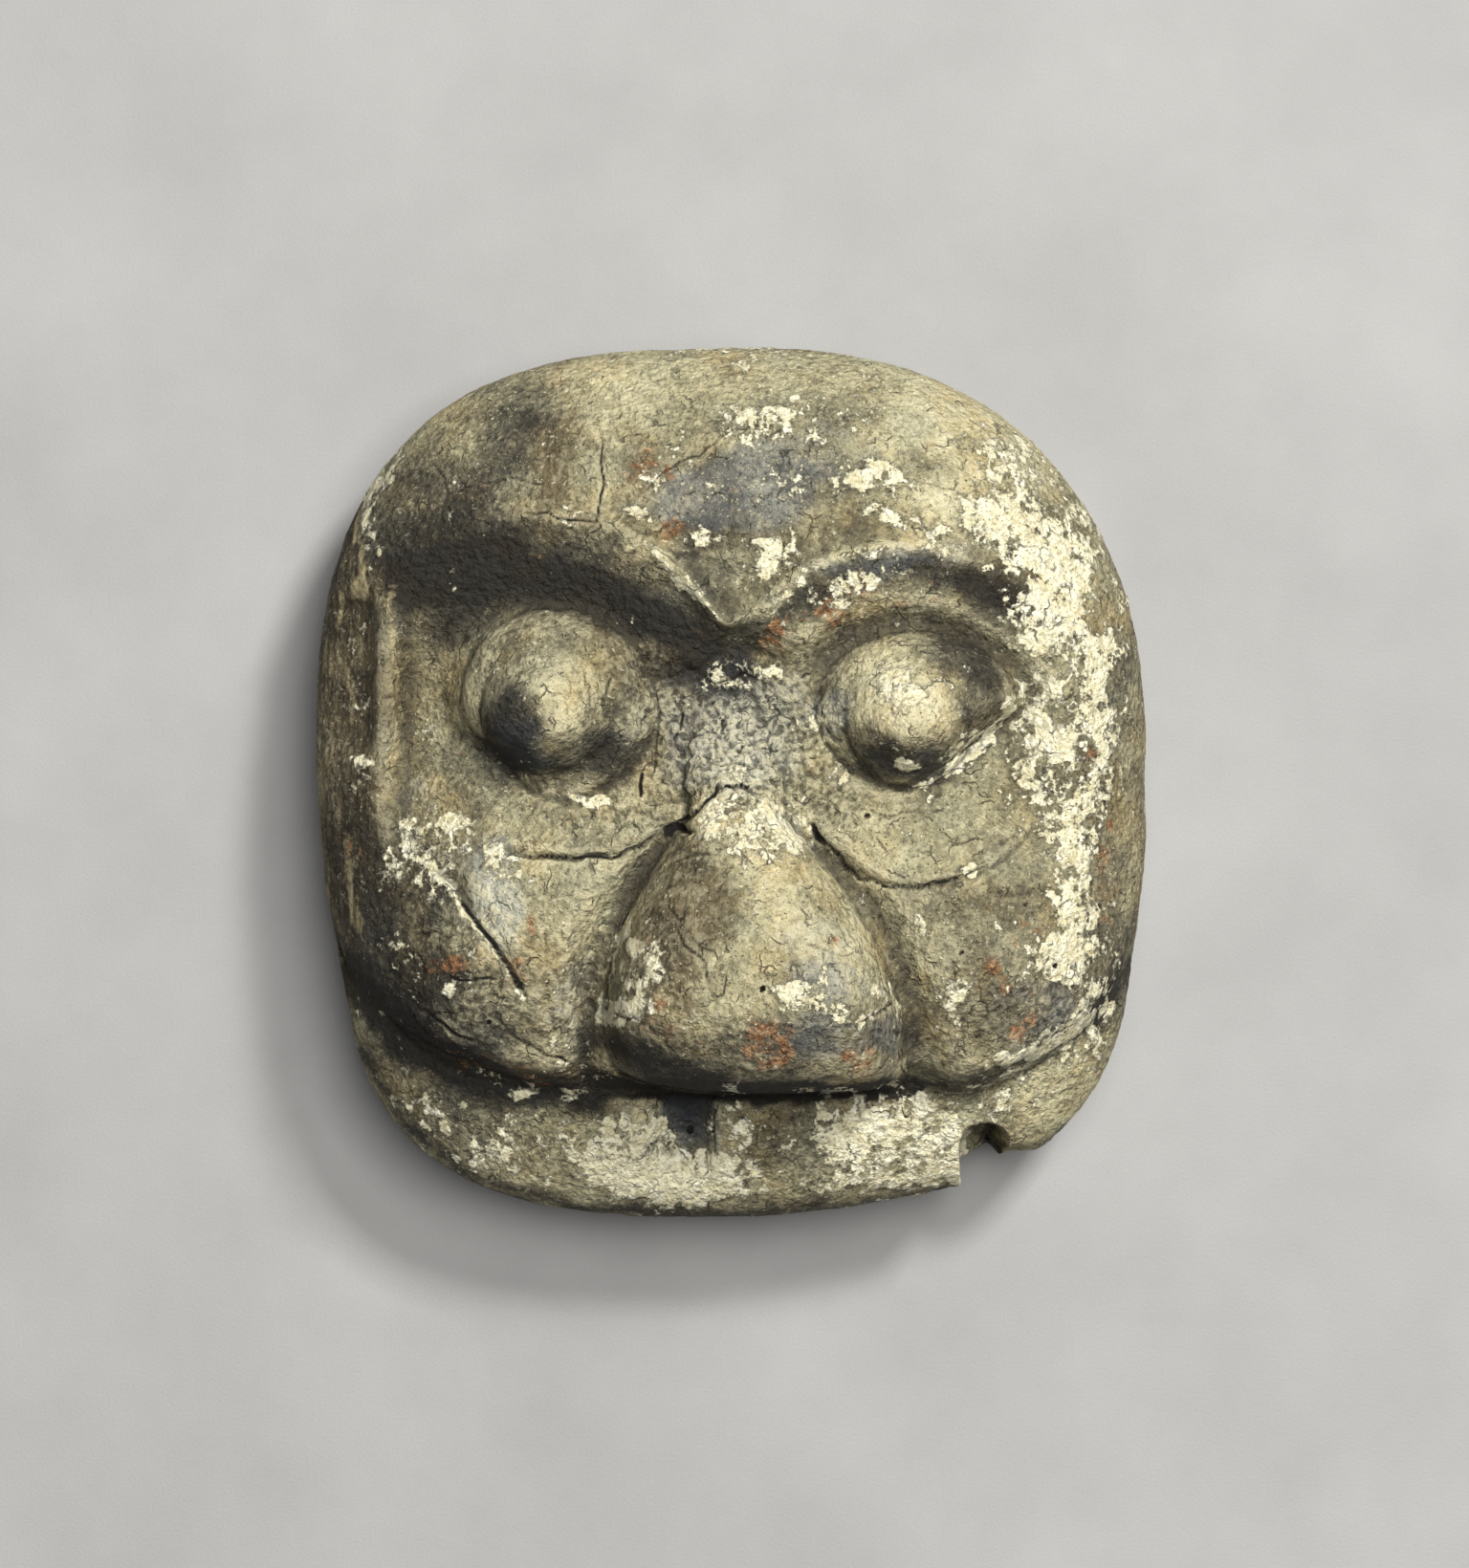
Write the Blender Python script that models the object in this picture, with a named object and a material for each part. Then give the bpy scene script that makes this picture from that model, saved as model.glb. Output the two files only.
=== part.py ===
"""A carved wooden lion mask: one hollow shell that lies on its rim with the face up.

+Z points out of the face, +Y to the top of the forehead, and +X to the right of someone who looks at
the face. The origin is at the middle of the rim's plane.
"""

import math

import bmesh
import bpy
import numpy as np

MM = 0.001

# Driving sizes
WIDTH = 300 * MM
HEIGHT = 314 * MM
DEPTH = 150 * MM
WALL = 14 * MM
CAVITY_DEPTH = 86 * MM
CAVITY_ROUNDNESS = 3.4
NOSE_HOLLOW = 20 * MM

# The carving is drawn on a sheet 300 units wide, 314 high and 150 deep, one unit to the millimetre at
# the real size, and then stretched to the driving sizes
SHEET = np.array([300.0, 314.0, 150.0])

# Quads across the carved side and across the hollow, and the triangles kept on the carved side
FACE_QUADS = 210
HOLLOW_QUADS = 26
FACE_TRIANGLES = 7400

WOOD_COLOUR = (0.33, 0.29, 0.20, 1.0)
WOOD_ROUGHNESS = 0.85


# Blending


def smooth(t):
    """0 below 0 and 1 above 1, with a soft step between."""
    t = np.clip(t, 0.0, 1.0)
    return t * t * (3.0 - 2.0 * t)


def bell(distance, width):
    return np.exp(-((distance / width) ** 2))


def blend_max(a, b, softness):
    """The higher of two surfaces, with a fillet where they meet."""
    mix = np.clip(0.5 + 0.5 * (a - b) / softness, 0.0, 1.0)
    return b + (a - b) * mix + softness * mix * (1.0 - mix)


def curve(points, steps=8):
    """A smooth line through the points. Each point may have any number of columns."""
    p = np.array(points, float)
    p = np.vstack([2 * p[0] - p[1], p, 2 * p[-1] - p[-2]])
    t = np.linspace(0.0, 1.0, steps, endpoint=False)[:, None]
    spans = []
    for i in range(1, len(p) - 2):
        a, b, c, d = p[i - 1 : i + 3]
        bend = (2 * a - 5 * b + 4 * c - d) * t**2 + (3 * b - a - 3 * c + d) * t**3
        spans.append(0.5 * (2 * b + (c - a) * t + bend))
    return np.vstack(spans + [p[-2:-1]])


def line_height(line, x):
    """The y of a line that runs from left to right."""
    return np.interp(x, line[:, 0], line[:, 1])


def below(line, x, y):
    """Distance from a line that runs from left to right, positive below it."""
    away = distance_to(line, x, y)[0]
    return np.where(y < line_height(line, x), away, -away)


def distance_to(line, x, y):
    """Distance from each point to a line, and how far along the line the nearest place is, from 0 to 1."""
    best = np.full(np.shape(x), 1e9)
    along = np.zeros(np.shape(x))
    for i in range(len(line) - 1):
        (ax, ay), (bx, by) = line[i], line[i + 1]
        dx, dy = bx - ax, by - ay
        t = np.clip(((x - ax) * dx + (y - ay) * dy) / (dx * dx + dy * dy), 0.0, 1.0)
        d = np.hypot(x - ax - t * dx, y - ay - t * dy)
        nearer = d < best
        best = np.where(nearer, d, best)
        along = np.where(nearer, (i + t) / (len(line) - 1), along)
    return best, along


# The plain mask, in sheet units: a rounded square dome on a nearly upright wall

WIDEST = 46.0
DOME_RISE = 72.0
DOME_ROUNDNESS = 2.35
LIP_RISE = 47.0
LIP_ROUNDNESS = 2.8
RIM_TAPER = 0.05
FACE_SHARE = 0.80

# How square each corner of the outline is
TOP_RIGHT = 2.48
TOP_LEFT = 2.86
LOW_LEFT = 3.18
LOW_RIGHT = 3.12

# Where the outline is flatter: the angle in degrees, its spread, and the depth taken off
FLATS = [(206, 17, 6.0), (293, 13, 4.0), (337, 10, 2.0)]


def outline(angle):
    """The radius of the mask's outline, a superellipse with its own squareness at each corner."""
    c, s = np.cos(angle), np.sin(angle)
    right, top = smooth(0.5 + 0.9 * c), smooth(0.5 + 0.9 * s)
    upper = TOP_RIGHT * right + TOP_LEFT * (1 - right)
    lower = LOW_RIGHT * right + LOW_LEFT * (1 - right)
    power = upper * top + lower * (1 - top)
    half_width, half_height = SHEET[0] / 2, SHEET[1] / 2
    radius = (np.abs(c / half_width) ** power + np.abs(s / half_height) ** power) ** (-1.0 / power)
    for degrees, width, depth in FLATS:
        turn = (np.degrees(angle) - degrees + 180.0) % 360.0 - 180.0
        radius = radius - depth * bell(turn, width)
    return radius


def dome(share, rise, roundness):
    """Height of a dome above its edge, at a share of the way out to the edge."""
    return rise * np.maximum(1.0 - share**roundness, 0.0) ** (1.0 / roundness)


# The forehead and the brows

LEFT_BROW = [
    (-150, 40), (-134, 62), (-119, 78), (-100, 88), (-76, 94),
    (-56, 93), (-39, 89), (-25, 81), (-13, 69), (-3, 56),
]
RIGHT_BROW = [
    (4, 57), (13, 63), (23, 73), (36, 79), (53, 83),
    (71, 83), (86, 78), (103, 69), (122, 56), (150, 35),
]
BROW = curve(LEFT_BROW + RIGHT_BROW)
BROW_MEETING = -3.0
BROW_FACE = 20.0
BROW_LEAN = 5.0
SOCKET_DEPTH = 10.0
SOCKET_LEFT, SOCKET_RIGHT = -126.0, 124.0


def carve_brows(x, y, z):
    """A shallow valley over each brow ridge, the ridge, its face, and the eye sockets below."""
    under = below(BROW, x, y)
    z = z - 2.6 * bell(under + 10.0, 7.0) + 1.6 * bell(under, 3.2)
    face = BROW_FACE * (0.15 + 0.85 * smooth((np.abs(x - BROW_MEETING) - 4.0) / 30.0))
    depth = BROW_LEAN * smooth(under / face) + SOCKET_DEPTH * smooth((under - face + 3.0) / 11.0)
    sides = smooth((x - SOCKET_LEFT) / 12.0) * smooth((SOCKET_RIGHT - x) / 26.0)
    fade = smooth((y + 42.0) / 62.0)
    return z - depth * sides * fade


# The eyes: a bulging eyeball cut off by its lower lid, with a dome for the pupil. The lid is a straight
# cut at a distance from the eyeball's middle, facing down and outwards.

LEFT_EYE = {
    "middle": (-61, 27), "radii": (35, 34.5), "base": 98, "rise": 20,
    "lid_facing": (-0.72, -0.69), "lid": 28, "pupil": (-66, 24.5), "pupil_radius": 21.5,
}
RIGHT_EYE = {
    "middle": (66, 25), "radii": (36, 28.5), "base": 98, "rise": 18,
    "lid_facing": (0.63, -0.78), "lid": 20, "pupil": (63, 20), "pupil_radius": 21.5,
}
PUPIL_RISE = 10.0
LID_FALL = 60.0


def carve_eye(x, y, z, eye):
    dx, dy = x - eye["middle"][0], y - eye["middle"][1]
    round_share = np.hypot(dx / eye["radii"][0], dy / eye["radii"][1])
    lid_share = (eye["lid_facing"][0] * dx + eye["lid_facing"][1] * dy) / eye["lid"]
    share = blend_max(round_share, lid_share, 0.12)
    swell = np.sqrt(np.maximum(1.0 - share**2.4, 0.0))
    ball = eye["base"] + eye["rise"] * swell - LID_FALL * np.maximum(share - 1.0, 0.0)
    z = blend_max(ball, z, 1.6)
    px, py = x - eye["pupil"][0], y - eye["pupil"][1]
    pupil_share = np.hypot(px, py) / eye["pupil_radius"]
    # The lower lid's fold is cut in under the pupil
    under_pupil = smooth((-py - 5.0) / 12.0) * smooth((1.5 - pupil_share) / 0.35)
    z = z - 5.0 * under_pupil * smooth((1.10 - share) / 0.22)
    pupil = PUPIL_RISE * np.maximum(1.0 - pupil_share**2.2, 0.0) ** 0.6
    lower_half = smooth((4.0 - py) / 18.0) * np.sqrt(np.maximum(1.0 - pupil_share**3, 0.0))
    return z + pupil + 4.0 * lower_half


# The swellings under the eyes, and the cheeks

LEFT_BAG = curve([(-112, 0), (-100, -12), (-77, -23), (-56, -26), (-36, -24), (-24, -17)])
RIGHT_BAG = curve([(30, -16), (35, -25), (46, -32), (60, -36), (76, -35), (91, -30), (103, -20), (111, -6)])
CHEEK_SCAR = curve([(-106, -29), (-98, -42), (-88, -56), (-78, -70), (-72, -82)])
CHEEK_RISE = 13.0
CHEEK_MIDDLE = (94.0, -74.0)
CHEEK_RADII = (50.0, 46.0)


def carve_bags(x, y, z):
    """The swelling under each eye ends at an incised line."""
    for line in (LEFT_BAG, RIGHT_BAG):
        away, along = distance_to(line, x, y)
        ends = smooth(along / 0.25) * smooth((1.0 - along) / 0.12)
        above = smooth(0.5 + (y - line_height(line, x)) / 5.0)
        near = smooth((x - line[0, 0]) / 4.0) * smooth((line[-1, 0] - x) / 4.0)
        z = z + ends * near * above * 2.8 * bell(away, 14.0)
        z = z - ends * 2.0 * bell(away, 2.4)
    return z


def carve_cheeks(x, y, z):
    away = np.hypot((np.abs(x) - CHEEK_MIDDLE[0]) / CHEEK_RADII[0], (y - CHEEK_MIDDLE[1]) / CHEEK_RADII[1])
    z = z + CHEEK_RISE * bell(away, 0.85)
    away, along = distance_to(CHEEK_SCAR, x, y)
    return z - 2.4 * bell(away, 2.4) * smooth(along / 0.1) * smooth((1.0 - along) / 0.1)


# The nose, by sections from the bridge down: y, middle, half width, rise above the dome

NOSE = curve(
    [
        (38, 0, 22, -26), (24, 0, 20, -15), (8, 1, 18, -5), (-4, 1.5, 17, 1), (-14, 2, 19, 7),
        (-28, 3.5, 30, 16), (-45, 4.5, 42, 26), (-63, 6, 52, 34), (-80, 6.5, 57, 38.5), (-92, 7, 58, 37),
        (-101, 7, 58, 30), (-108, 7, 57, 18), (-116, 7, 55, 0),
    ]
)[::-1]
NOSE_FALL = 40.0
NOSE_ROOT = 10.0
BESIDE_NOSE = 5.0


def carve_nose(x, y, z, plain):
    middle, half, rise = (np.interp(y, NOSE[:, 0], NOSE[:, i]) for i in (1, 2, 3))
    share = np.abs(x - middle) / half
    fall = NOSE_FALL * np.maximum(share - 1.0, 0.0)
    side = 1.0 - np.maximum(1.0 - share**2.5, 0.0) ** 0.62
    nose = plain + rise - (np.maximum(rise, 0.0) + NOSE_ROOT) * side - fall
    nose = np.where((y > NOSE[0, 0]) & (y < NOSE[-1, 0]), nose, 0.0)
    valley = bell((share - 1.12) * half, 9.0) * smooth((-y - 4.0) / 26.0) * smooth((y + 116.0) / 12.0)
    return blend_max(nose, z - BESIDE_NOSE * valley, 4.0)


# The left temple, cut back where a separate ear was seated, with a raised strip beside the cut

EAR_SEAT_X = -124.0
EAR_SEAT_TOP, EAR_SEAT_BOTTOM = 72.0, 4.0
EAR_SEAT_DEPTH = 7.0
EAR_STRIP = 2.4


def carve_ear_seat(x, y, z):
    window = smooth((EAR_SEAT_TOP - y) / 10.0) * smooth((y - EAR_SEAT_BOTTOM) / 16.0)
    back = smooth((EAR_SEAT_X - x) / 8.0) * smooth((x - EAR_SEAT_X + 26.0) / 14.0)
    strip = bell(x - EAR_SEAT_X - 4.0, 4.0)
    return z + window * (EAR_STRIP * strip - EAR_SEAT_DEPTH * back)


# The lower edge of the cheeks, which stands over the band of the upper lip

CHEEK_EDGE = curve(
    [
        (-152, -40), (-142, -58), (-136, -70), (-124, -82), (-107, -92), (-90, -100), (-69, -107),
        (-49, -108), (-20, -107), (8, -107), (40, -106), (62, -105), (80, -110), (97, -105), (114, -96),
        (131, -83), (142, -69), (152, -50),
    ]
)
CHEEK_ROLL = 9.0
OVERHANG = 5.0
LIP_GROOVE = 4.5


def lip_height(x, y, share):
    """The band of the upper lip, with the groove in its middle."""
    groove = smooth((x + 33.0) / 12.0) * smooth((-5.0 - x) / 5.0) * smooth((y + 146.0) / 16.0)
    return WIDEST + dome(share, LIP_RISE, LIP_ROUNDNESS) - LIP_GROOVE * groove


def carve_face(x, y, share, plain):
    """The height of the carved face at x, y over the plain dome, and 1 above the cheeks' lower edge."""
    z = carve_brows(x, y, plain)
    z = carve_cheeks(x, y, z)
    z = carve_bags(x, y, z)
    z = carve_eye(x, y, z, LEFT_EYE)
    z = carve_eye(x, y, z, RIGHT_EYE)
    z = carve_nose(x, y, z, plain)
    z = carve_ear_seat(x, y, z)
    edge = y - line_height(CHEEK_EDGE, x)
    z = z - CHEEK_ROLL * (1.0 - smooth(edge / 13.0)) ** 2
    above = smooth(0.5 + edge / 5.0)
    return z * above + lip_height(x, y, share) * (1.0 - above), above


# The broken string hole at the lower right edge, a round-ended notch that runs out through the rim

NOTCH = np.array([(91.0, -131.0), (95.0, -172.0)])
NOTCH_RADIUS = 8.5
NOTCH_FLOOR = 36.0
NOTCH_INNER, NOTCH_OUTER, NOTCH_BITE = 150.0, 170.0, 10.0


def cut_notch(x, y, z, r):
    away = distance_to(NOTCH, x, y)[0]
    bite = 1.0 - smooth((away - NOTCH_RADIUS + 1.5) / 3.0)
    on_face = z + (np.minimum(z, NOTCH_FLOOR) - z) * bite
    on_wall = z * (1.0 - bite * (1.0 - NOTCH_FLOOR / WIDEST))
    z = np.where(r < FACE_SHARE, on_face, on_wall)
    length = np.hypot(x, y) + 1e-9
    pull = NOTCH_BITE / (NOTCH_OUTER - NOTCH_INNER) * np.maximum(length - NOTCH_INNER, 0.0) * bite
    return x * (1.0 - pull / length), y * (1.0 - pull / length), z


# The two surfaces. p and q run from -1 to 1 across a square that is rounded into a disc.


def disc(p, q):
    across, up = p * np.sqrt(1.0 - q * q / 2.0), q * np.sqrt(1.0 - p * p / 2.0)
    return np.hypot(across, up), np.arctan2(up, across)


def outer_surface(p, q):
    """Points of the carved side, in sheet units."""
    r, angle = disc(p, q)
    turn = np.clip(r / FACE_SHARE, 0.0, 1.0) * math.pi / 2
    down = np.clip((r - FACE_SHARE) / (1.0 - FACE_SHARE), 0.0, 1.0)
    share = np.sin(turn) ** (2.0 / DOME_ROUNDNESS)
    x, y = share * outline(angle) * np.cos(angle), share * outline(angle) * np.sin(angle)
    plain = WIDEST + DOME_RISE * np.cos(turn) ** (2.0 / DOME_ROUNDNESS)
    z, above = carve_face(x, y, share, plain)
    on_face = smooth((plain - WIDEST) / 14.0)
    z = np.where(r < FACE_SHARE, plain + (z - plain) * on_face, WIDEST * (1.0 - down))
    # The cheeks and the nose stand out over the lip
    edge = y - line_height(CHEEK_EDGE, x)
    over = smooth((z - 92.0) / 30.0) * bell(np.maximum(edge, 0.0), 12.0) * smooth(0.5 + edge / 5.0)
    y = y - OVERHANG * over * on_face
    taper = 1.0 - RIM_TAPER * down**1.6
    x, y, z = cut_notch(x * taper, y * taper, z, r)
    return np.stack([x, y, z], axis=-1)


def cavity_surface(p, q):
    """Points of the hollow, in metres: a plain dome, a wall inside the rim and deeper behind the nose."""
    r, angle = disc(p, q)
    size = np.array([WIDTH, HEIGHT, DEPTH]) / SHEET
    rim = outline(angle) * (1.0 - RIM_TAPER)
    x, y = rim * np.cos(angle) * size[0], rim * np.sin(angle) * size[1]
    length = np.hypot(x, y)
    turn = r * math.pi / 2
    inside = np.sin(turn) ** (2.0 / CAVITY_ROUNDNESS) * (length - WALL) / length
    x, y = x * inside, y * inside
    z = CAVITY_DEPTH * np.maximum(np.cos(turn), 0.0) ** (2.0 / CAVITY_ROUNDNESS)
    behind_nose = np.hypot((x / size[0] - 5.0) / 40.0, (y / size[1] + 70.0) / 34.0)
    z = z + NOSE_HOLLOW * bell(behind_nose, 0.75)
    return np.stack([x, y, np.where(r > 1.0 - 1e-9, 0.0, z)], axis=-1)


# The mesh


def spread(values, axis, times=6):
    """Values averaged with their neighbours along an axis."""
    last = values.shape[axis] - 1
    for _ in range(times):
        before = np.take(values, np.maximum(np.arange(last + 1) - 1, 0), axis)
        after = np.take(values, np.minimum(np.arange(last + 1) + 1, last), axis)
        values = 0.25 * before + 0.5 * values + 0.25 * after
    return values


def even_grid(surface, quads, rounds=5):
    """A square grid on a surface, its lines moved until the steps along them are nearly even."""
    line = np.linspace(-1.0, 1.0, quads + 1)
    p, q = np.meshgrid(line, line, indexing="ij")
    for _ in range(rounds):
        for axis, moving in ((0, p), (1, q)):
            steps = np.linalg.norm(np.diff(surface(p, q), axis=axis), axis=-1)
            steps = spread(steps, 1 - axis)
            run = np.cumsum(steps + 0.25 * steps.mean(), axis=axis)
            for i in range(quads + 1):
                pick = (slice(None), i) if axis == 0 else (i, slice(None))
                length = np.concatenate([[0.0], run[pick]])
                even = np.interp(np.linspace(0.0, length[-1], quads + 1), length, moving[pick])
                moving[pick] += 0.6 * (even - moving[pick])
    return surface(p, q)


def add_grid(bm, points):
    """Quads over a grid of points, facing +Z. Gives the grid's edge, from one corner counterclockwise."""
    rows = [[bm.verts.new(point) for point in row] for row in points]
    last = len(rows) - 1
    for i in range(last):
        for j in range(last):
            bm.faces.new((rows[i][j], rows[i + 1][j], rows[i + 1][j + 1], rows[i][j + 1]))
    edge = [rows[i][0] for i in range(last)] + [rows[last][j] for j in range(last)]
    return edge + [rows[i][last] for i in range(last, 0, -1)] + [rows[0][j] for j in range(last, 0, -1)]


def angle_of(vert):
    return math.atan2(vert.co.y, vert.co.x)


def fill_rim(bm, outer, inner):
    """Triangles across the flat rim, between the edge of the carved side and the edge of the hollow."""
    outer_turn = [angle_of(vert) for vert in outer] + [angle_of(outer[0])]
    inner_turn = [angle_of(vert) for vert in inner] + [angle_of(inner[0])]
    outer_turn, inner_turn = np.unwrap(outer_turn), np.unwrap(inner_turn)
    i, j = 0, 0
    while i < len(outer) or j < len(inner):
        a, b = outer[i % len(outer)], inner[j % len(inner)]
        if j == len(inner) or (i < len(outer) and outer_turn[i + 1] <= inner_turn[j + 1]):
            i += 1
            bm.faces.new((a, b, outer[i % len(outer)]))
        else:
            j += 1
            bm.faces.new((a, b, inner[j % len(inner)]))


def reduced(points, triangles):
    """The carved side with only the triangles its shape needs, as a mesh, its edge kept as it is."""
    bm = bmesh.new()
    add_grid(bm, points)
    mesh = bpy.data.meshes.new("carved_side")
    bm.to_mesh(mesh)
    bm.free()
    sheet = bpy.data.objects.new("carved_side", mesh)
    bpy.context.scene.collection.objects.link(sheet)
    decimate = sheet.modifiers.new("Decimate", "DECIMATE")
    decimate.ratio = triangles / (2 * len(mesh.polygons))
    graph = bpy.context.evaluated_depsgraph_get()
    result = bpy.data.meshes.new_from_object(sheet.evaluated_get(graph))
    bpy.data.objects.remove(sheet)
    return result


def edge_loop(bm):
    """The verts of a sheet's open edge, in order, counterclockwise from above."""
    start = next(edge for edge in bm.edges if edge.is_boundary)
    first, vert = start.verts
    loop = [first]
    while vert is not first:
        loop.append(vert)
        ahead = [edge.other_vert(vert) for edge in vert.link_edges if edge.is_boundary]
        vert = ahead[0] if ahead[1] is loop[-2] else ahead[1]
    turns = np.unwrap([angle_of(vert) for vert in loop])
    return loop if turns[-1] > turns[0] else loop[::-1]


def from_nearest(loop, vert):
    """A loop of verts, started at the one whose direction is nearest to a vert's."""
    gaps = [abs((angle_of(v) - angle_of(vert) + math.pi) % (2 * math.pi) - math.pi) for v in loop]
    start = gaps.index(min(gaps))
    return loop[start:] + loop[:start]


def build_mask():
    """The shell, carved on the outside and plainly hollowed, on a flat rim."""
    size = np.array([WIDTH, HEIGHT, DEPTH]) / SHEET
    carved = even_grid(outer_surface, FACE_QUADS) * size
    hollow = even_grid(cavity_surface, HOLLOW_QUADS)
    bm = bmesh.new()
    bm.from_mesh(reduced(carved, FACE_TRIANGLES))
    outer = edge_loop(bm)
    for vert in outer:
        vert.co.z = 0.0
    inner = add_grid(bm, hollow)
    for vert in inner:
        vert.co.z = 0.0
    fill_rim(bm, outer, from_nearest(inner, outer[0]))
    bmesh.ops.recalc_face_normals(bm, faces=bm.faces)
    bmesh.ops.triangulate(bm, faces=bm.faces)
    mesh = bpy.data.meshes.new("lion_mask")
    bm.to_mesh(mesh)
    bm.free()
    mesh.shade_smooth()
    mesh.set_sharp_from_angle(angle=math.radians(40))
    return mesh


def wood():
    material = bpy.data.materials.new("weathered_wood")
    material.use_nodes = True
    surface = material.node_tree.nodes["Principled BSDF"]
    surface.inputs["Base Color"].default_value = WOOD_COLOUR
    surface.inputs["Roughness"].default_value = WOOD_ROUGHNESS
    return material


def main():
    for thing in list(bpy.data.objects):
        bpy.data.objects.remove(thing)
    mask = bpy.data.objects.new("lion_mask", build_mask())
    mask.data.materials.append(wood())
    bpy.context.scene.collection.objects.link(mask)


main()
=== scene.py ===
import math

import bmesh
import bpy
import numpy as np
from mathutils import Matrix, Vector


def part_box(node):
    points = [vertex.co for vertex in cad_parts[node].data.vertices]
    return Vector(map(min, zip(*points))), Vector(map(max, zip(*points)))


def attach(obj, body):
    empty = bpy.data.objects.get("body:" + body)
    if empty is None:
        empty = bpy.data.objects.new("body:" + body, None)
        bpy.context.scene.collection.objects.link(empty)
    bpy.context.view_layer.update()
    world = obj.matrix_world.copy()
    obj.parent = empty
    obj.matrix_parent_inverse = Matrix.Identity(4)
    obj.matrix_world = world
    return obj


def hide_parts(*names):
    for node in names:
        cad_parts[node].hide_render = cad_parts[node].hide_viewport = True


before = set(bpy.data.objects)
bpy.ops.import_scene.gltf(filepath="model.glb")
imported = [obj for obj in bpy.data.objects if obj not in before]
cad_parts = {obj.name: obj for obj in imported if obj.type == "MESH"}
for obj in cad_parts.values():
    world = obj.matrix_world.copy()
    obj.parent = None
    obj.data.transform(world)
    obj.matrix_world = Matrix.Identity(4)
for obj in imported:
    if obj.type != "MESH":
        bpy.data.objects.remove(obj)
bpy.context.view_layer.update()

# Sizes of the mask, from the frame, in metres
LOW, HIGH = (np.array(corner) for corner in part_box("lion_mask"))
WIDTH, HEIGHT, DEPTH = HIGH - LOW
WALL = 0.014
CAVITY_DEPTH = 0.086
CAVITY_ROUNDNESS = 3.4
NOSE_HOLLOW = 0.02

# The carving is drawn on a sheet 300 units wide, 314 high and 150 deep, one unit to the millimetre
SHEET = np.array([300, 314, 150])
SIZE = np.array([WIDTH, HEIGHT, DEPTH]) / SHEET

# Quads across the carved side at first and in full, across the hollow, the rounds that even the steps
# of the lines between them, and the triangles kept
DRAFT_QUADS = 150
FACE_QUADS = 600
HOLLOW_QUADS = 80
EVENING_ROUNDS, SPREAD_ROUNDS = 5, 6
FACE_TRIANGLES = 176000

# The photograph: its size and the mask's middle in pixels, and the millimetres to a pixel at the widest
# part of the mask. The camera is 2130 mm above that part.
PHOTO = (1536, 1640)
MASK_MIDDLE = (764, 818.5)
PIXEL = 0.3464
WIDEST = 46
CAMERA_ABOVE = 2130


# Blending


def smooth(t):
    """0 below 0 and 1 above 1, with a soft step between."""
    t = np.clip(t, 0, 1)
    return t * t * (3 - 2 * t)


def bell(distance, width):
    return np.exp(-((distance / width) ** 2))


def blend_max(a, b, softness):
    """The higher of two surfaces, with a fillet where they meet."""
    mix = np.clip(0.5 + 0.5 * (a - b) / softness, 0, 1)
    return b + (a - b) * mix + softness * mix * (1 - mix)


def curve(points, steps=8):
    """A smooth line through the points. Each point may have any number of columns."""
    p = np.array(points, float)
    p = np.vstack([2 * p[0] - p[1], p, 2 * p[-1] - p[-2]])
    t = np.linspace(0, 1, steps, endpoint=False)[:, None]
    spans = []
    for i in range(1, len(p) - 2):
        a, b, c, d = p[i - 1 : i + 3]
        bend = (2 * a - 5 * b + 4 * c - d) * t**2 + (3 * b - a - 3 * c + d) * t**3
        spans.append(0.5 * (2 * b + (c - a) * t + bend))
    return np.vstack(spans + [p[-2:-1]])


def line_height(line, x):
    """The y of a line that runs from left to right."""
    return np.interp(x, line[:, 0], line[:, 1])


def distance_to(line, x, y):
    """Distance from each point to a line, and how far along the line the nearest place is, from 0 to 1."""
    best = np.full(np.shape(x), 1e9)
    along = np.zeros(np.shape(x))
    for i in range(len(line) - 1):
        (ax, ay), (bx, by) = line[i], line[i + 1]
        dx, dy = bx - ax, by - ay
        t = np.clip(((x - ax) * dx + (y - ay) * dy) / (dx * dx + dy * dy), 0, 1)
        d = np.hypot(x - ax - t * dx, y - ay - t * dy)
        nearer = d < best
        best = np.where(nearer, d, best)
        along = np.where(nearer, (i + t) / (len(line) - 1), along)
    return best, along


def below(line, x, y):
    """Distance from a line that runs from left to right, positive below it."""
    away = distance_to(line, x, y)[0]
    return np.where(y < line_height(line, x), away, -away)


# Noise


def lattice(i, j, k, seed):
    """A repeatable random number from 0 to 1 for each whole-numbered place."""
    n = (i * 73856093) ^ (j * 19349663) ^ (k * 83492791) ^ (seed * 2654435761)
    n = (n ^ (n >> 13)) * 1274126177 & 0xFFFFFFFF
    n = (n ^ (n >> 16)) * 2246822519 & 0xFFFFFFFF
    return ((n ^ (n >> 15)) & 0xFFFFFF) / 0xFFFFFF


def noise(points, size, seed):
    """Smooth noise from -1 to 1, whose lumps are about as wide as size."""
    p = points / size
    cell = np.floor(p).astype(np.int64)
    f = p - cell
    f = f * f * (3 - 2 * f)
    total = 0
    for corner in np.ndindex(2, 2, 2):
        weight = 1
        for i, upper in enumerate(corner):
            weight = weight * (f[..., i] if upper else 1 - f[..., i])
        total = total + weight * lattice(*np.moveaxis(cell + corner, -1, 0), seed)
    return 2 * total - 1


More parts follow.
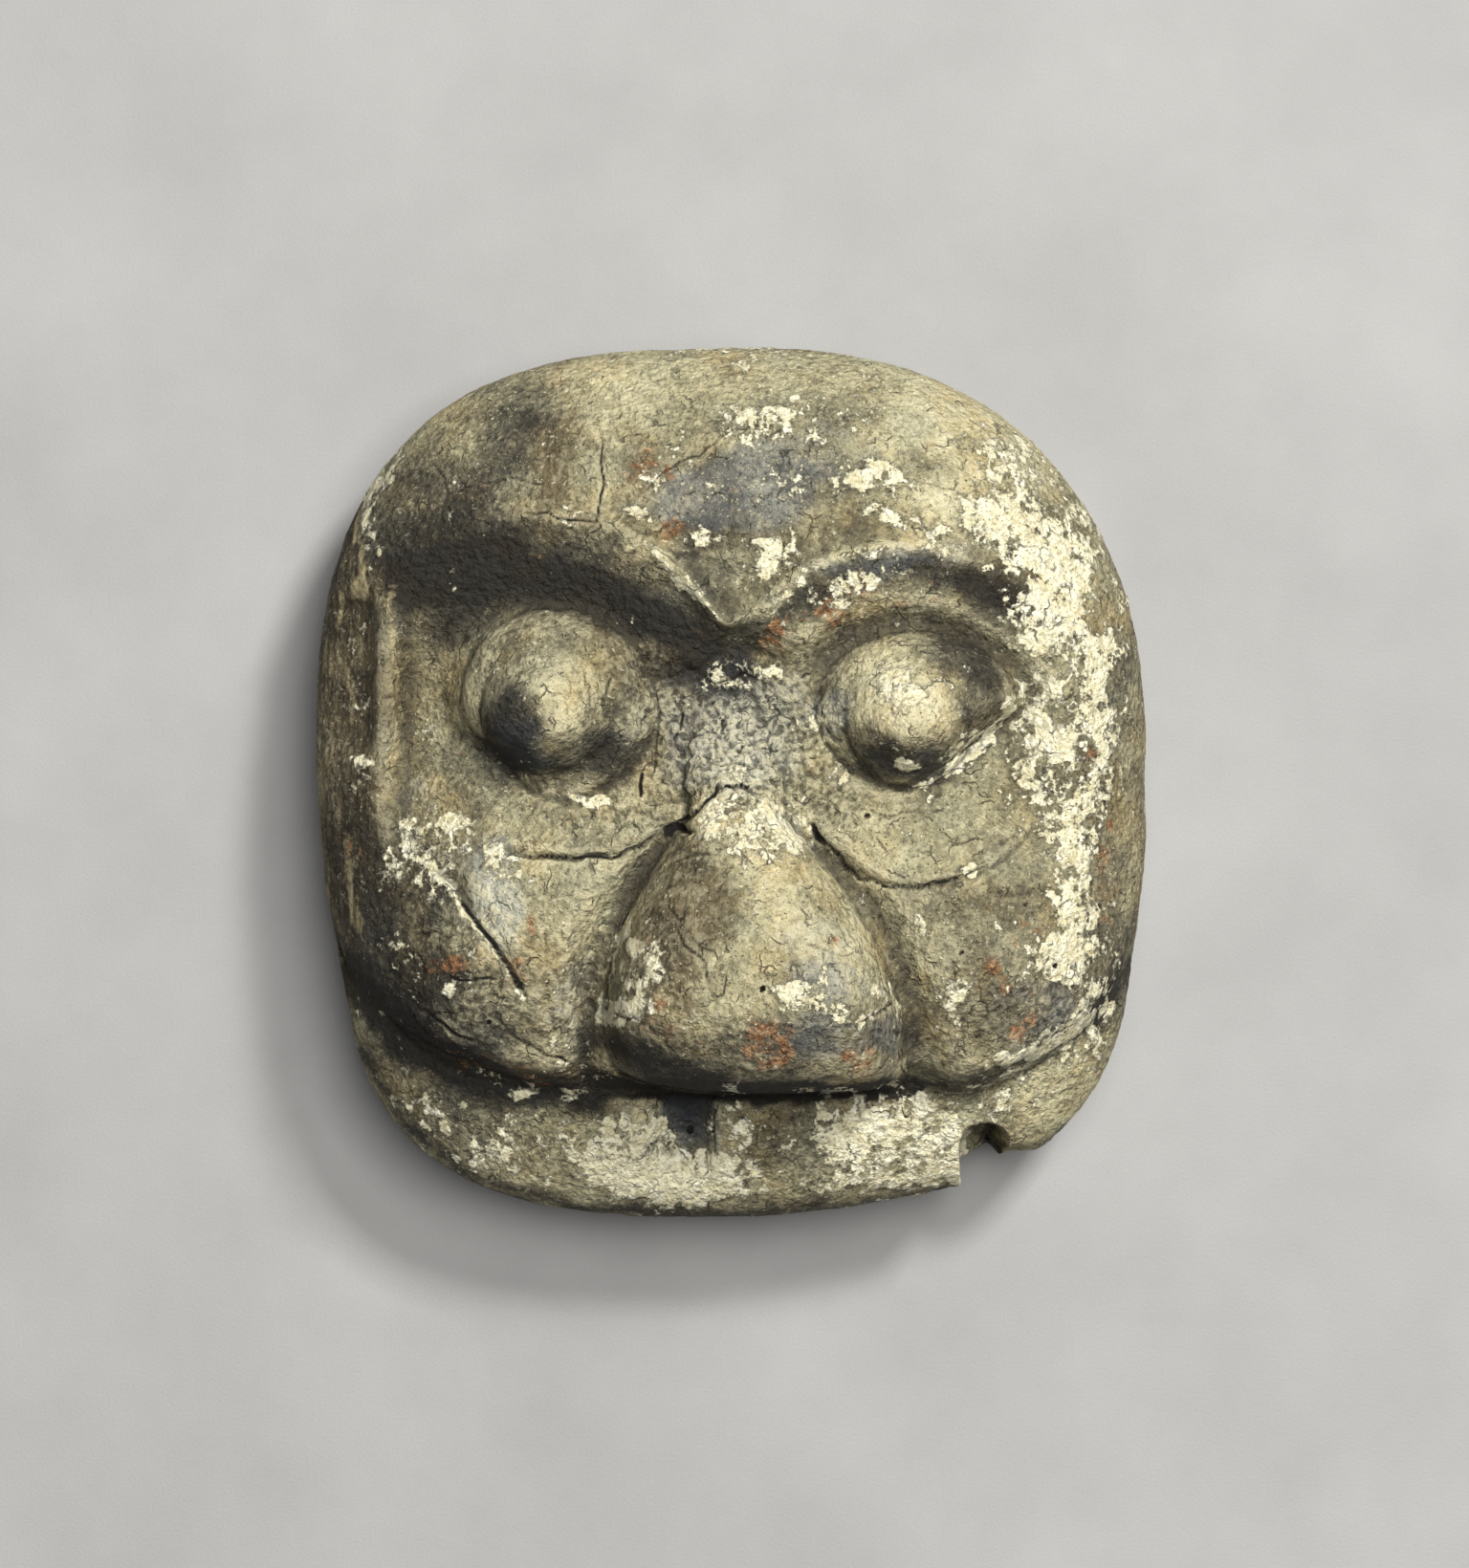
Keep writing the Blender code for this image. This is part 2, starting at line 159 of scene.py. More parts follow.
def rough(points, size, octaves, seed, fade=0.5):
    """Noise with finer and finer detail, about -1 to 1."""
    total, weight, whole = 0, 1, 0
    for octave in range(octaves):
        total = total + weight * noise(points + 17.3 * octave, size / 2**octave, seed + octave)
        whole += weight
        weight *= fade
    return total / whole * 1.6


# The plain mask, in sheet units: a rounded square dome on a nearly upright wall

DOME_RISE = 72
DOME_ROUNDNESS = 2.35
LIP_RISE = 47
LIP_ROUNDNESS = 2.8
RIM_TAPER = 0.05
FACE_SHARE = 0.8

# How square each corner of the outline is
TOP_RIGHT = 2.48
TOP_LEFT = 2.86
LOW_LEFT = 3.18
LOW_RIGHT = 3.12

# Where the outline is flatter: the angle in degrees, its spread, and the depth taken off
FLATS = [(206, 17, 6), (293, 13, 4), (337, 10, 2)]


def outline(angle):
    """The radius of the mask's outline, a superellipse with its own squareness at each corner."""
    c, s = np.cos(angle), np.sin(angle)
    right, top = smooth(0.5 + 0.9 * c), smooth(0.5 + 0.9 * s)
    upper = TOP_RIGHT * right + TOP_LEFT * (1 - right)
    lower = LOW_RIGHT * right + LOW_LEFT * (1 - right)
    power = upper * top + lower * (1 - top)
    half_width, half_height = SHEET[0] / 2, SHEET[1] / 2
    radius = (np.abs(c / half_width) ** power + np.abs(s / half_height) ** power) ** (-1 / power)
    for degrees, width, depth in FLATS:
        turn = (np.degrees(angle) - degrees + 180) % 360 - 180
        radius = radius - depth * bell(turn, width)
    return radius


def dome(share, rise, roundness):
    """Height of a dome above its edge, at a share of the way out to the edge."""
    return rise * np.maximum(1 - share**roundness, 0) ** (1 / roundness)


# The forehead and the brows

LEFT_BROW = [
    (-150, 40), (-134, 62), (-119, 78), (-100, 88), (-76, 94),
    (-56, 93), (-39, 89), (-25, 81), (-13, 69), (-3, 56),
]
RIGHT_BROW = [
    (4, 57), (13, 63), (23, 73), (36, 79), (53, 83),
    (71, 83), (86, 78), (103, 69), (122, 56), (150, 35),
]
BROW = curve(LEFT_BROW + RIGHT_BROW, 4)
BROW_MEETING = -3
BROW_FACE = 20
BROW_LEAN = 5
SOCKET_DEPTH = 10
SOCKET_LEFT, SOCKET_RIGHT = -126, 124


def carve_brows(x, y, z):
    """A shallow valley over each brow ridge, the ridge, its face, and the eye sockets below."""
    under = below(BROW, x, y)
    crisp = 0.2 + 0.8 * smooth((x + 70) / 34) * smooth((108 - x) / 30)
    z = z + crisp * (1.5 * bell(under, 2.6) - 1.9 * bell(under + 9, 7))
    left = smooth(-x / 20)
    face = (BROW_FACE - 7 * left) * (0.15 + 0.85 * smooth((np.abs(x - BROW_MEETING) - 4) / 30))
    depth = BROW_LEAN * smooth(under / face)
    depth = depth + SOCKET_DEPTH * smooth((under - face + 3) / (11 + 15 * left))
    sides = smooth((x - SOCKET_LEFT) / 12) * smooth((SOCKET_RIGHT - x) / 26)
    fade = smooth((y + 42) / 62)
    return z - depth * sides * fade


# The eyes: a bulging eyeball cut off by its lower lid, with a dome for the pupil

LEFT_EYE = {
    "middle": (-61, 27), "radii": (35, 34.5), "rise": 20,
    "lid_facing": (-0.72, -0.69), "lid": 28, "pupil": (-66, 24.5),
    "steep_facing": (-0.6, -0.8), "tip": (-59.5, 18.5),
}
RIGHT_EYE = {
    "middle": (66, 25), "radii": (36, 28.5), "rise": 18,
    "lid_facing": (0.63, -0.78), "lid": 20, "pupil": (63, 20),
    "steep_facing": (-0.2, -0.98), "tip": (62, 22),
}
EYE_BASE = 98
PUPIL_RADIUS = 21.5
PUPIL_RISE = 10
LID_FALL = 60


def carve_eye(x, y, z, eye):
    dx, dy = x - eye["middle"][0], y - eye["middle"][1]
    round_share = np.hypot(dx / eye["radii"][0], dy / eye["radii"][1])
    lid_share = (eye["lid_facing"][0] * dx + eye["lid_facing"][1] * dy) / eye["lid"]
    share = blend_max(round_share, lid_share, 0.12)
    swell = np.sqrt(np.maximum(1 - share**2.4, 0))
    ball = EYE_BASE + eye["rise"] * swell - LID_FALL * np.maximum(share - 1, 0)
    z = blend_max(ball, z, 1.6 + 4.5 * smooth(dy / 16))
    px, py = x - eye["pupil"][0], y - eye["pupil"][1]
    pupil_share = np.hypot(px, py) / PUPIL_RADIUS
    # The lower lid's fold is cut in under the pupil
    under_pupil = smooth((-py - 5) / 12) * smooth((1.5 - pupil_share) / 0.35)
    z = z - 5 * under_pupil * smooth((1.1 - share) / 0.22)
    # The dome has a steep edge on one side and runs softly into the eyeball on the other
    facing = (eye["steep_facing"][0] * px + eye["steep_facing"][1] * py) / PUPIL_RADIUS
    steep = smooth((facing + 0.75) / 1.3)
    reach = pupil_share / (1.22 - 0.22 * steep)
    pupil = (PUPIL_RISE + 3.5 * steep) * np.maximum(1 - reach**2.2, 0) ** (1.75 - 1.2 * steep)
    tip = 2.6 * bell(np.hypot(x - eye["tip"][0], y - eye["tip"][1]), 8.5)
    return z + pupil + tip


# The swellings under the eyes, and the cheeks

LEFT_BAG = curve([(-112, 0), (-100, -12), (-77, -23), (-56, -26), (-36, -24), (-24, -17)])
RIGHT_BAG = curve([(30, -16), (35, -25), (46, -32), (60, -36), (76, -35), (91, -30), (103, -20), (111, -6)])
CHEEK_RISE = 13
CHEEK_MIDDLE = (94, -74)
CHEEK_RADII = (50, 46)


def carve_bags(x, y, z):
    """The swelling under each eye ends at an incised line."""
    for line, line_start in ((LEFT_BAG, 0.3), (RIGHT_BAG, 0)):
        away, along = distance_to(line, x, y)
        ends = smooth((along - line_start) / 0.2) * smooth((1 - along) / 0.2)
        above = smooth(0.5 + (y - line_height(line, x)) / 4)
        near = smooth((x - line[0, 0]) / 4) * smooth((line[-1, 0] - x) / 4)
        z = z + ends * near * above * 1.3 * bell(away, 14)
        z = z - ends * 0.9 * bell(away, 1.3)
    return z


def carve_cheeks(x, y, z):
    away = np.hypot((np.abs(x) - CHEEK_MIDDLE[0]) / CHEEK_RADII[0], (y - CHEEK_MIDDLE[1]) / CHEEK_RADII[1])
    return z + CHEEK_RISE * bell(away, 0.85)


# The nose, by sections from the bridge down: y, middle, half width, rise above the dome

NOSE = curve(
    [
        (38, 0, 22, -26), (24, 0, 20, -15), (8, 1, 18, -5), (-4, 1.5, 17, 1), (-14, 2, 19, 7),
        (-28, 3.5, 30, 16), (-45, 4.7, 41, 26), (-63, 6.5, 49, 34), (-80, 8, 53, 38.5), (-92, 8.6, 54.5, 37),
        (-101, 8.8, 55, 30), (-108, 8.8, 54.5, 18), (-116, 8.8, 53, 0),
    ]
)[::-1]
NOSE_FALL = 40
NOSE_ROOT = 10
BESIDE_NOSE = 6.5
NOSE_FACET = np.array([(-70, -76), (-46, -83), (-20, -92), (12, -106)])


def carve_nose(x, y, z, plain):
    middle, half, rise = (np.interp(y, NOSE[:, 0], NOSE[:, i]) for i in (1, 2, 3))
    share = np.abs(x - middle) / half
    fall = NOSE_FALL * np.maximum(share - 1, 0)
    boxy = 2.9 + 1.9 * smooth((-y - 40) / 40)
    side = 1 - np.maximum(1 - share**boxy, 0) ** 0.6
    nose = plain + rise - (np.maximum(rise, 0) + NOSE_ROOT) * side - fall
    nose = np.where((y > NOSE[0, 0]) & (y < NOSE[-1, 0]), nose, 0)
    valley = bell((share - 1.1) * half, 7.5) * smooth((-y - 4) / 26) * smooth((y + 116) / 12)
    nose = nose - 0.95 * np.maximum(below(NOSE_FACET, x, y), 0) * smooth((13 - x) / 16)
    beside = BESIDE_NOSE + 3 * smooth(-(x - middle) / 10)
    return blend_max(nose, z - beside * valley, 2.4)


# The left temple, cut back where a separate ear was seated, with a raised strip beside the cut

EAR_SEAT_X = -124
EAR_SEAT_TOP, EAR_SEAT_BOTTOM = 72, 4
EAR_SEAT_DEPTH = 7
EAR_STRIP = 2.4


def carve_ear_seat(x, y, z):
    window = smooth((EAR_SEAT_TOP - y) / 10) * smooth((y - EAR_SEAT_BOTTOM) / 16)
    back = smooth((EAR_SEAT_X - x) / 6) * smooth((x - EAR_SEAT_X + 26) / 14)
    strip = bell(x - EAR_SEAT_X - 4, 4)
    return z + window * (EAR_STRIP * strip - EAR_SEAT_DEPTH * back)


# The lower edge of the cheeks, which stands over the band of the upper lip

CHEEK_EDGE = curve(
    [
        (-152, -40), (-142, -58), (-136, -70), (-124, -82), (-107, -92), (-90, -100), (-69, -107),
        (-49, -108), (-20, -107), (8, -107), (40, -106), (62, -105), (80, -110), (97, -105), (114, -96),
        (131, -83), (142, -69), (152, -50),
    ]
)
CHEEK_ROLL = 9
LEFT_CHEEK_ROLL = 2
OVERHANG = 5
LIP_GROOVE = 6.5


def lip_height(x, y, share):
    """The band of the upper lip, with the groove in its middle."""
    groove = smooth((x + 34) / 14) * smooth((-5 - x) / 3.2) * smooth((y + 147) / 20)
    return WIDEST + dome(share, LIP_RISE, LIP_ROUNDNESS) - LIP_GROOVE * groove


def carve_face(x, y, share, plain):
    """The height of the carved face at x, y over the plain dome, and 1 above the cheeks' lower edge."""
    z = carve_brows(x, y, plain)
    z = carve_cheeks(x, y, z)
    z = carve_bags(x, y, z)
    z = carve_eye(x, y, z, LEFT_EYE)
    z = carve_eye(x, y, z, RIGHT_EYE)
    z = carve_nose(x, y, z, plain)
    z = carve_ear_seat(x, y, z)
    edge = y - line_height(CHEEK_EDGE, x)
    roll = CHEEK_ROLL + LEFT_CHEEK_ROLL * smooth((-30 - x) / 40)
    z = z - roll * (1 - smooth(edge / 14)) ** 2
    above = smooth(0.5 + edge / 4)
    return z * above + lip_height(x, y, share) * (1 - above), above


# The broken string hole at the lower right edge, a round-ended notch that runs out through the rim

NOTCH = np.array([(91, -131), (95, -172)])
NOTCH_RADIUS = 8.5
NOTCH_FLOOR = 36
NOTCH_INNER, NOTCH_OUTER, NOTCH_BITE = 150, 170, 10
NOTCH_CORNER = (103, -139)
CORNER_WEAR = 6


def cut_notch(x, y, z, r):
    away = distance_to(NOTCH, x, y)[0]
    bite = 1 - smooth((away - NOTCH_RADIUS + 1.5) / 3)
    on_face = z + (np.minimum(z, NOTCH_FLOOR) - z) * bite
    on_wall = z * (1 - bite * (1 - NOTCH_FLOOR / WIDEST))
    z = np.where(r < FACE_SHARE, on_face, on_wall)
    length = np.hypot(x, y) + 1e-9
    pull = NOTCH_BITE / (NOTCH_OUTER - NOTCH_INNER) * np.maximum(length - NOTCH_INNER, 0) * bite
    corner = bell(np.hypot(x - NOTCH_CORNER[0], y - NOTCH_CORNER[1]), 7)
    pull = np.maximum(pull, CORNER_WEAR * corner)
    return x * (1 - pull / length), y * (1 - pull / length), z


# The two surfaces. p and q run from -1 to 1 across a square that is rounded into a disc.


def disc(p, q):
    across, up = p * np.sqrt(1 - q * q / 2), q * np.sqrt(1 - p * p / 2)
    return np.hypot(across, up), np.arctan2(up, across)


def outer_surface(p, q):
    """Points of the carved side, in sheet units."""
    r, angle = disc(p, q)
    turn = np.clip(r / FACE_SHARE, 0, 1) * math.pi / 2
    down = np.clip((r - FACE_SHARE) / (1 - FACE_SHARE), 0, 1)
    share = np.sin(turn) ** (2 / DOME_ROUNDNESS)
    x, y = share * outline(angle) * np.cos(angle), share * outline(angle) * np.sin(angle)
    plain = WIDEST + DOME_RISE * np.cos(turn) ** (2 / DOME_ROUNDNESS)
    z, above = carve_face(x, y, share, plain)
    on_face = smooth((plain - WIDEST) / 14)
    z = np.where(r < FACE_SHARE, plain + (z - plain) * on_face, WIDEST * (1 - down))
    # The cheeks and the nose stand out over the lip
    edge = y - line_height(CHEEK_EDGE, x)
    over = smooth((z - 92) / 30) * bell(np.maximum(edge, 0), 12) * smooth(0.5 + edge / 5)
    y = y - OVERHANG * over * on_face
    taper = 1 - RIM_TAPER * down**1.6
    x, y, z = cut_notch(x * taper, y * taper, z, r)
    return np.stack([x, y, z], axis=-1)


def cavity_surface(p, q):
    """Points of the hollow, in sheet units: a plain dome, a wall inside the rim, deeper behind the nose."""
    r, angle = disc(p, q)
    rim = outline(angle) * (1 - RIM_TAPER)
    x, y = rim * np.cos(angle) * SIZE[0], rim * np.sin(angle) * SIZE[1]
    length = np.hypot(x, y)
    turn = r * math.pi / 2
    inside = np.sin(turn) ** (2 / CAVITY_ROUNDNESS) * (length - WALL) / length
    x, y = x * inside / SIZE[0], y * inside / SIZE[1]
    z = CAVITY_DEPTH * np.maximum(np.cos(turn), 0) ** (2 / CAVITY_ROUNDNESS)
    behind_nose = np.hypot((x - 5) / 40, (y + 70) / 34)
    z = (z + NOSE_HOLLOW * bell(behind_nose, 0.75)) / SIZE[2]
    return np.stack([x, y, np.where(r > 1 - 1e-9, 0, z)], axis=-1)


def spread(values, axis):
    """Values averaged with their neighbours along an axis."""
    last = values.shape[axis] - 1
    for _ in range(SPREAD_ROUNDS):
        before = np.take(values, np.maximum(np.arange(last + 1) - 1, 0), axis)
        after = np.take(values, np.minimum(np.arange(last + 1) + 1, last), axis)
        values = 0.25 * before + 0.5 * values + 0.25 * after
    return values


def even_lines(surface, quads, wall_weight=1):
    """Places of grid lines on a surface, moved until the steps along them are nearly even."""
    line = np.linspace(-1, 1, quads + 1)
    p, q = np.meshgrid(line, line, indexing="ij")
    for _ in range(EVENING_ROUNDS):
        for axis, moving in ((0, p), (1, q)):
            points = surface(p, q)
            steps = np.linalg.norm(np.diff(points, axis=axis), axis=-1)
            height = 0.5 * (np.delete(points[..., 2], 0, axis) + np.delete(points[..., 2], -1, axis))
            steps = steps * (wall_weight + (1 - wall_weight) * smooth(height / 60))
            steps = spread(steps, 1 - axis)
            run = np.cumsum(steps + 0.25 * steps.mean(), axis=axis)
            for i in range(quads + 1):
                pick = (slice(None), i) if axis == 0 else (i, slice(None))
                length = np.concatenate([[0], run[pick]])
                even = np.interp(np.linspace(0, length[-1], quads + 1), length, moving[pick])
                moving[pick] += 0.6 * (even - moving[pick])
    return p, q


def finer(values, quads):
    """A square grid of values, with straight steps filled in up to a number of quads."""
    old = np.linspace(0, 1, len(values))
    new = np.linspace(0, 1, quads + 1)
    rows = np.array([np.interp(new, old, row) for row in values])
    return np.array([np.interp(new, old, column) for column in rows.T]).T


# Places seen in the photograph


def seen(points):
    """Pixels of the photograph where points on the sheet are seen."""
    nearer = CAMERA_ABOVE / (CAMERA_ABOVE + WIDEST - points[..., 2])
    across = MASK_MIDDLE[0] + points[..., 0] * nearer / PIXEL
    down = MASK_MIDDLE[1] - points[..., 1] * nearer / PIXEL
    return across, down


# A patch is whole inside this share of its size, and gone outside this one
PATCH_WHOLE, PATCH_GONE = 0.45, 1.55


def patches(across, down, ellipses):
    """How strongly soft-edged ellipses cover each place.

    An ellipse is x, y, half width, half height, hundredths of strength, and degrees of turn if it has one.
    """
    total = np.zeros(across.shape)
    for x, y, wide, tall, strength, *turn in ellipses:
        c, s = math.cos(math.radians(sum(turn))), math.sin(math.radians(sum(turn)))
        dx, dy = across - x, down - y
        share = np.hypot((dx * c + dy * s) / wide, (dy * c - dx * s) / tall)
        total = total + strength / 100 * smooth((PATCH_GONE - share) / (PATCH_GONE - PATCH_WHOLE))
    return total


def strokes(across, down, lines):
    """How strongly soft-edged lines cover each place.

    A line is half width, hundredths of strength, then x and y by turns.
    """
    total = np.zeros(across.shape)
    for width, strength, *line in lines:
        away = distance_to(np.reshape(line, (-1, 2)), across, down)[0]
        total = total + strength / 100 * bell(away, width)
    return total


# Where the wood and its old paint are lighter or darker than the dust that covers them. Some patches and
# strokes are painted shade and painted highlights instead, as marked below.

TONE_PATCHES = [
    # the forehead
    (455, 565, 78, 88, -33, -10), (540, 440, 30, 48, -22, 20), (560, 470, 60, 40, -14),
    (640, 500, 40, 40, 2), (560, 566, 90, 26, -16), (770, 395, 210, 34, 9), (1000, 470, 110, 80, 20, 35),
    (760, 510, 110, 46, -6), (420, 470, 30, 70, 10, 25), (612, 420, 50, 32, 10), (912, 412, 26, 18, -10),
    (950, 482, 20, 14, -12), (700, 430, 60, 30, 8), (1115, 620, 60, 90, 10), (745, 590, 40, 60, -16),
    (1040, 620, 60, 26, -30, 8),
    # the eyes: darker lids, painted highlights on the pupils' upper sides, and painted shade below and
    # beside the pupils
    (560, 690, 90, 50, -8), (645, 740, 34, 60, -10), (538, 762, 30, 40, -42, 20), (564, 794, 30, 14, -34),
    (590, 722, 36, 30, 18), (636, 792, 36, 30, -27), (940, 722, 50, 34, 36), (956, 794, 50, 24, -36),
    (915, 772, 22, 22, -16), (1026, 740, 28, 40, -16), (890, 704, 40, 40, -12), (1000, 690, 44, 26, -28),
    # between and beside them
    (1165, 640, 26, 120, -12), (1100, 570, 40, 40, -12), (1140, 800, 30, 80, -10), (360, 720, 30, 160, -22),
    # (960, 660) and (740, 704) are painted shade under the brows
    (372, 930, 30, 90, -22), (640, 780, 20, 60, -10), (960, 660, 80, 14, -14), (1020, 700, 30, 30, -10),
    (712, 770, 30, 50, -8), (842, 740, 24, 44, -8), (765, 756, 80, 66, 14), (740, 704, 62, 22, -36),
    (770, 806, 26, 16, 28), (790, 860, 60, 34, 26), (412, 710, 16, 100, -13), (600, 862, 90, 20, 2),
    (640, 905, 70, 12, 10),
    # the nose, its darker patches along the lower edge being dark paint and painted shade where it turns
    # under
    (725, 950, 48, 60, -9), (806, 940, 34, 60, 16), (868, 975, 36, 60, 14, 10), (860, 1090, 90, 34, -14),
    (780, 1094, 90, 24, -5), (680, 1076, 50, 24, -3), (690, 1100, 74, 28, -21, 10), (690, 1020, 40, 34, -4),
    # the cheeks
    (430, 960, 60, 90, -28, -10), (465, 1060, 90, 50, -26, 20), (524, 940, 28, 56, 30),
    (585, 950, 40, 60, 3, 10), (625, 1040, 14, 50, 6), (1090, 1060, 60, 50, -16), (1065, 948, 34, 30, -14),
    (1020, 1030, 34, 44, -12), (950, 880, 70, 30, 11), (980, 1010, 60, 70, 4), (1010, 960, 60, 40, -8),
    (1160, 1000, 30, 60, -20),
    # the lip
    (460, 1140, 80, 40, -18, 30), (670, 1205, 80, 44, 30), (815, 1180, 50, 44, -14),
    (560, 1195, 70, 34, -4, 20), (935, 1195, 76, 50, 16), (1115, 1140, 60, 50, 16),
    # (714, 1176) darkens the lip's groove: painted shade over the blue-grey paint
    (714, 1176, 28, 40, -56),
]
TONE_STROKES = [
    # the brows' faces, darker with paint and with painted shade where they turn down, and lighter along
    # their ridge lines with worn paint and painted highlight
    (36, -34, 430, 600, 480, 596, 540, 596, 600, 602, 650, 622, 700, 654, 748, 694),
    (20, -44, 430, 612, 480, 606, 540, 604, 600, 608, 650, 626, 700, 656, 748, 696),
    (17, -32, 770, 690, 810, 650, 850, 618, 900, 596, 960, 590, 1020, 606, 1060, 630),
    (6, 30, 660, 572, 690, 584, 715, 606, 748, 648),
    (6, 26, 800, 640, 845, 600, 880, 583, 920, 572, 1000, 573),
    # painted shadow under the cheeks and the nose, and painted shade in the creases beside the nose, along
    # the lower rim, around the pupils, in the notch and above the left eye
    (18, -70, 372, 1020, 420, 1080, 480, 1118, 560, 1140, 625, 1146),
    (9, -100, 625, 1132, 700, 1140, 800, 1143, 900, 1141, 955, 1140),
    (14, -28, 625, 1085, 680, 1110, 760, 1128),
    (9, -30, 905, 1140, 1000, 1135, 1070, 1110, 1140, 1070, 1180, 1010),
    (9, -24, 612, 1120, 614, 1060, 624, 1010, 648, 955, 684, 895),
    (9, -22, 850, 870, 880, 905, 925, 965, 950, 1040, 955, 1110),
    (7, -30, 380, 1100, 430, 1180, 500, 1235, 600, 1262, 760, 1270, 900, 1262, 1000, 1245),
    (5, -16, 886, 745, 893, 785, 920, 815, 955, 825, 990, 808, 1012, 775, 1014, 745),
    (5, -14, 640, 745, 632, 780, 610, 806, 575, 812, 536, 800, 512, 772, 507, 740, 518, 710),
    (5, -34, 1028, 1183, 1044, 1205, 1058, 1219, 1086, 1208, 1112, 1182),
    (10, -18, 455, 690, 475, 650, 520, 632, 600, 632, 660, 660),
]

# Blue-grey paint
BLUE_PATCHES = [
    (760, 515, 96, 44, 75), (820, 480, 80, 30, 45, -8), (560, 770, 50, 40, 35), (545, 780, 30, 26, 40),
    (765, 762, 88, 76, 85), (436, 838, 26, 22, 30), (522, 940, 30, 62, 100), (950, 790, 56, 28, 50),
    (865, 1030, 50, 26, 45), (880, 1085, 70, 24, 60), (1090, 1065, 60, 44, 45), (712, 1180, 34, 40, 90),
    (930, 585, 90, 16, 60, -4), (470, 900, 40, 22, 45), (600, 1060, 30, 60, 35), (870, 750, 24, 24, 50),
    (1120, 830, 40, 40, 20), (850, 1000, 40, 60, 30),
]

# Bare brown wood
WOOD_PATCHES = [
    (360, 700, 34, 150, 100), (372, 880, 36, 90, 50), (350, 980, 30, 110, 70), (1188, 880, 24, 160, 40),
    (583, 500, 34, 26, 55), (455, 1010, 50, 50, 35), (1060, 1010, 44, 44, 30), (720, 950, 56, 66, 62),
    (690, 1040, 60, 40, 36), (1060, 610, 60, 26, 30),
]

# Straw-coloured fibres of worn wood
STRAW_STROKES = [
    (9, 75, 378, 620, 376, 560, 388, 500, 410, 460, 440, 425, 480, 398),
    (8, 45, 362, 760, 356, 680, 362, 620),
    (10, 50, 372, 880, 366, 930, 372, 970),
    (7, 50, 412, 618, 414, 700, 412, 800),
]

# Red and orange-brown remains
RED_PATCHES = [
    (678, 492, 30, 24, 62), (712, 552, 14, 12, 60), (505, 565, 20, 10, 45), (642, 605, 14, 9, 50),
    (905, 604, 18, 14, 62), (876, 640, 16, 14, 60), (950, 632, 34, 8, 42), (690, 1050, 14, 12, 55),
    (800, 1090, 25, 34, 76, 15), (898, 1108, 20, 17, 70), (476, 1010, 20, 14, 60), (565, 970, 12, 14, 50),
    (545, 1018, 14, 14, 55), (372, 892, 12, 12, 50), (1038, 1008, 14, 14, 62), (1078, 978, 20, 14, 55),
    (1058, 1033, 12, 14, 60), (1087, 1046, 10, 10, 65), (1063, 1090, 12, 10, 60), (1160, 900, 12, 60, 42),
    (1135, 800, 12, 30, 40), (865, 990, 26, 10, 35), (1085, 1074, 12, 10, 50), (690, 1080, 40, 12, 30),
    (520, 1120, 60, 20, 35, 20), (820, 660, 40, 14, 42, -30),
]

# Cream gesso, left in flakes
CREAM_PATCHES = [
    (780, 372, 60, 8, 50), (820, 440, 48, 24, 22), (910, 498, 22, 14, 60), (938, 538, 30, 10, 55),
    (978, 552, 18, 10, 50), (1050, 520, 48, 76, 62, 20), (850, 470, 150, 60, 26), (770, 590, 60, 40, 16),
    (1090, 610, 42, 70, 60), (1140, 640, 40, 90, 16), (1130, 560, 26, 60, 32, 20), (678, 541, 16, 8, 60),
    (745, 562, 14, 10, 60), (680, 505, 22, 12, 45), (815, 575, 22, 24, 50, 30), (615, 546, 26, 8, 50),
    (385, 550, 16, 76, 34), (400, 480, 20, 40, 35, 25), (440, 735, 16, 60, 34), (430, 905, 44, 26, 42),
    (900, 600, 20, 12, 72), (878, 624, 24, 14, 42), (952, 607, 42, 16, 34), (1083, 618, 10, 8, 70),
    (770, 700, 40, 14, 50), (805, 698, 18, 8, 60), (618, 833, 24, 7, 75), (938, 716, 22, 16, 85),
    (948, 800, 14, 9, 75), (1010, 788, 24, 9, 45, -40), (878, 808, 10, 10, 60), (780, 862, 56, 36, 72),
    (770, 806, 22, 14, 50), (822, 880, 22, 30, 55), (672, 1012, 28, 26, 58), (662, 981, 12, 10, 70),
    (655, 1060, 34, 14, 62), (830, 1040, 30, 20, 52), (918, 1034, 16, 11, 75), (942, 1058, 12, 24, 52),
    (880, 1060, 26, 12, 48), (1110, 900, 26, 44, 58, -15), (1132, 970, 22, 52, 62, 20),
    (1096, 1003, 24, 26, 75), (1130, 780, 40, 110, 52), (1080, 760, 30, 60, 34), (1160, 720, 26, 90, 26),
    (1010, 910, 16, 8, 70), (970, 965, 16, 22, 45), (1110, 1090, 60, 30, 42, -25), (650, 1207, 48, 42, 92),
    (705, 1238, 46, 26, 92), (770, 1185, 24, 50, 55), (930, 1200, 82, 52, 86), (570, 1220, 70, 26, 30, 15),
    (820, 1240, 60, 16, 40), (545, 1140, 18, 7, 65), (470, 1175, 60, 40, 32, 30), (1050, 1150, 44, 24, 34),
    (455, 870, 34, 30, 40), (520, 905, 40, 24, 42), (480, 840, 40, 16, 36), (1135, 1010, 34, 40, 40),
    (995, 1050, 30, 40, 36), (740, 1200, 20, 40, 34), (1005, 700, 20, 14, 36), (850, 760, 16, 14, 42),
    (372, 770, 20, 120, 22), (460, 1000, 60, 70, 20), (590, 1110, 30, 30, 36), (1060, 820, 40, 60, 30),
]
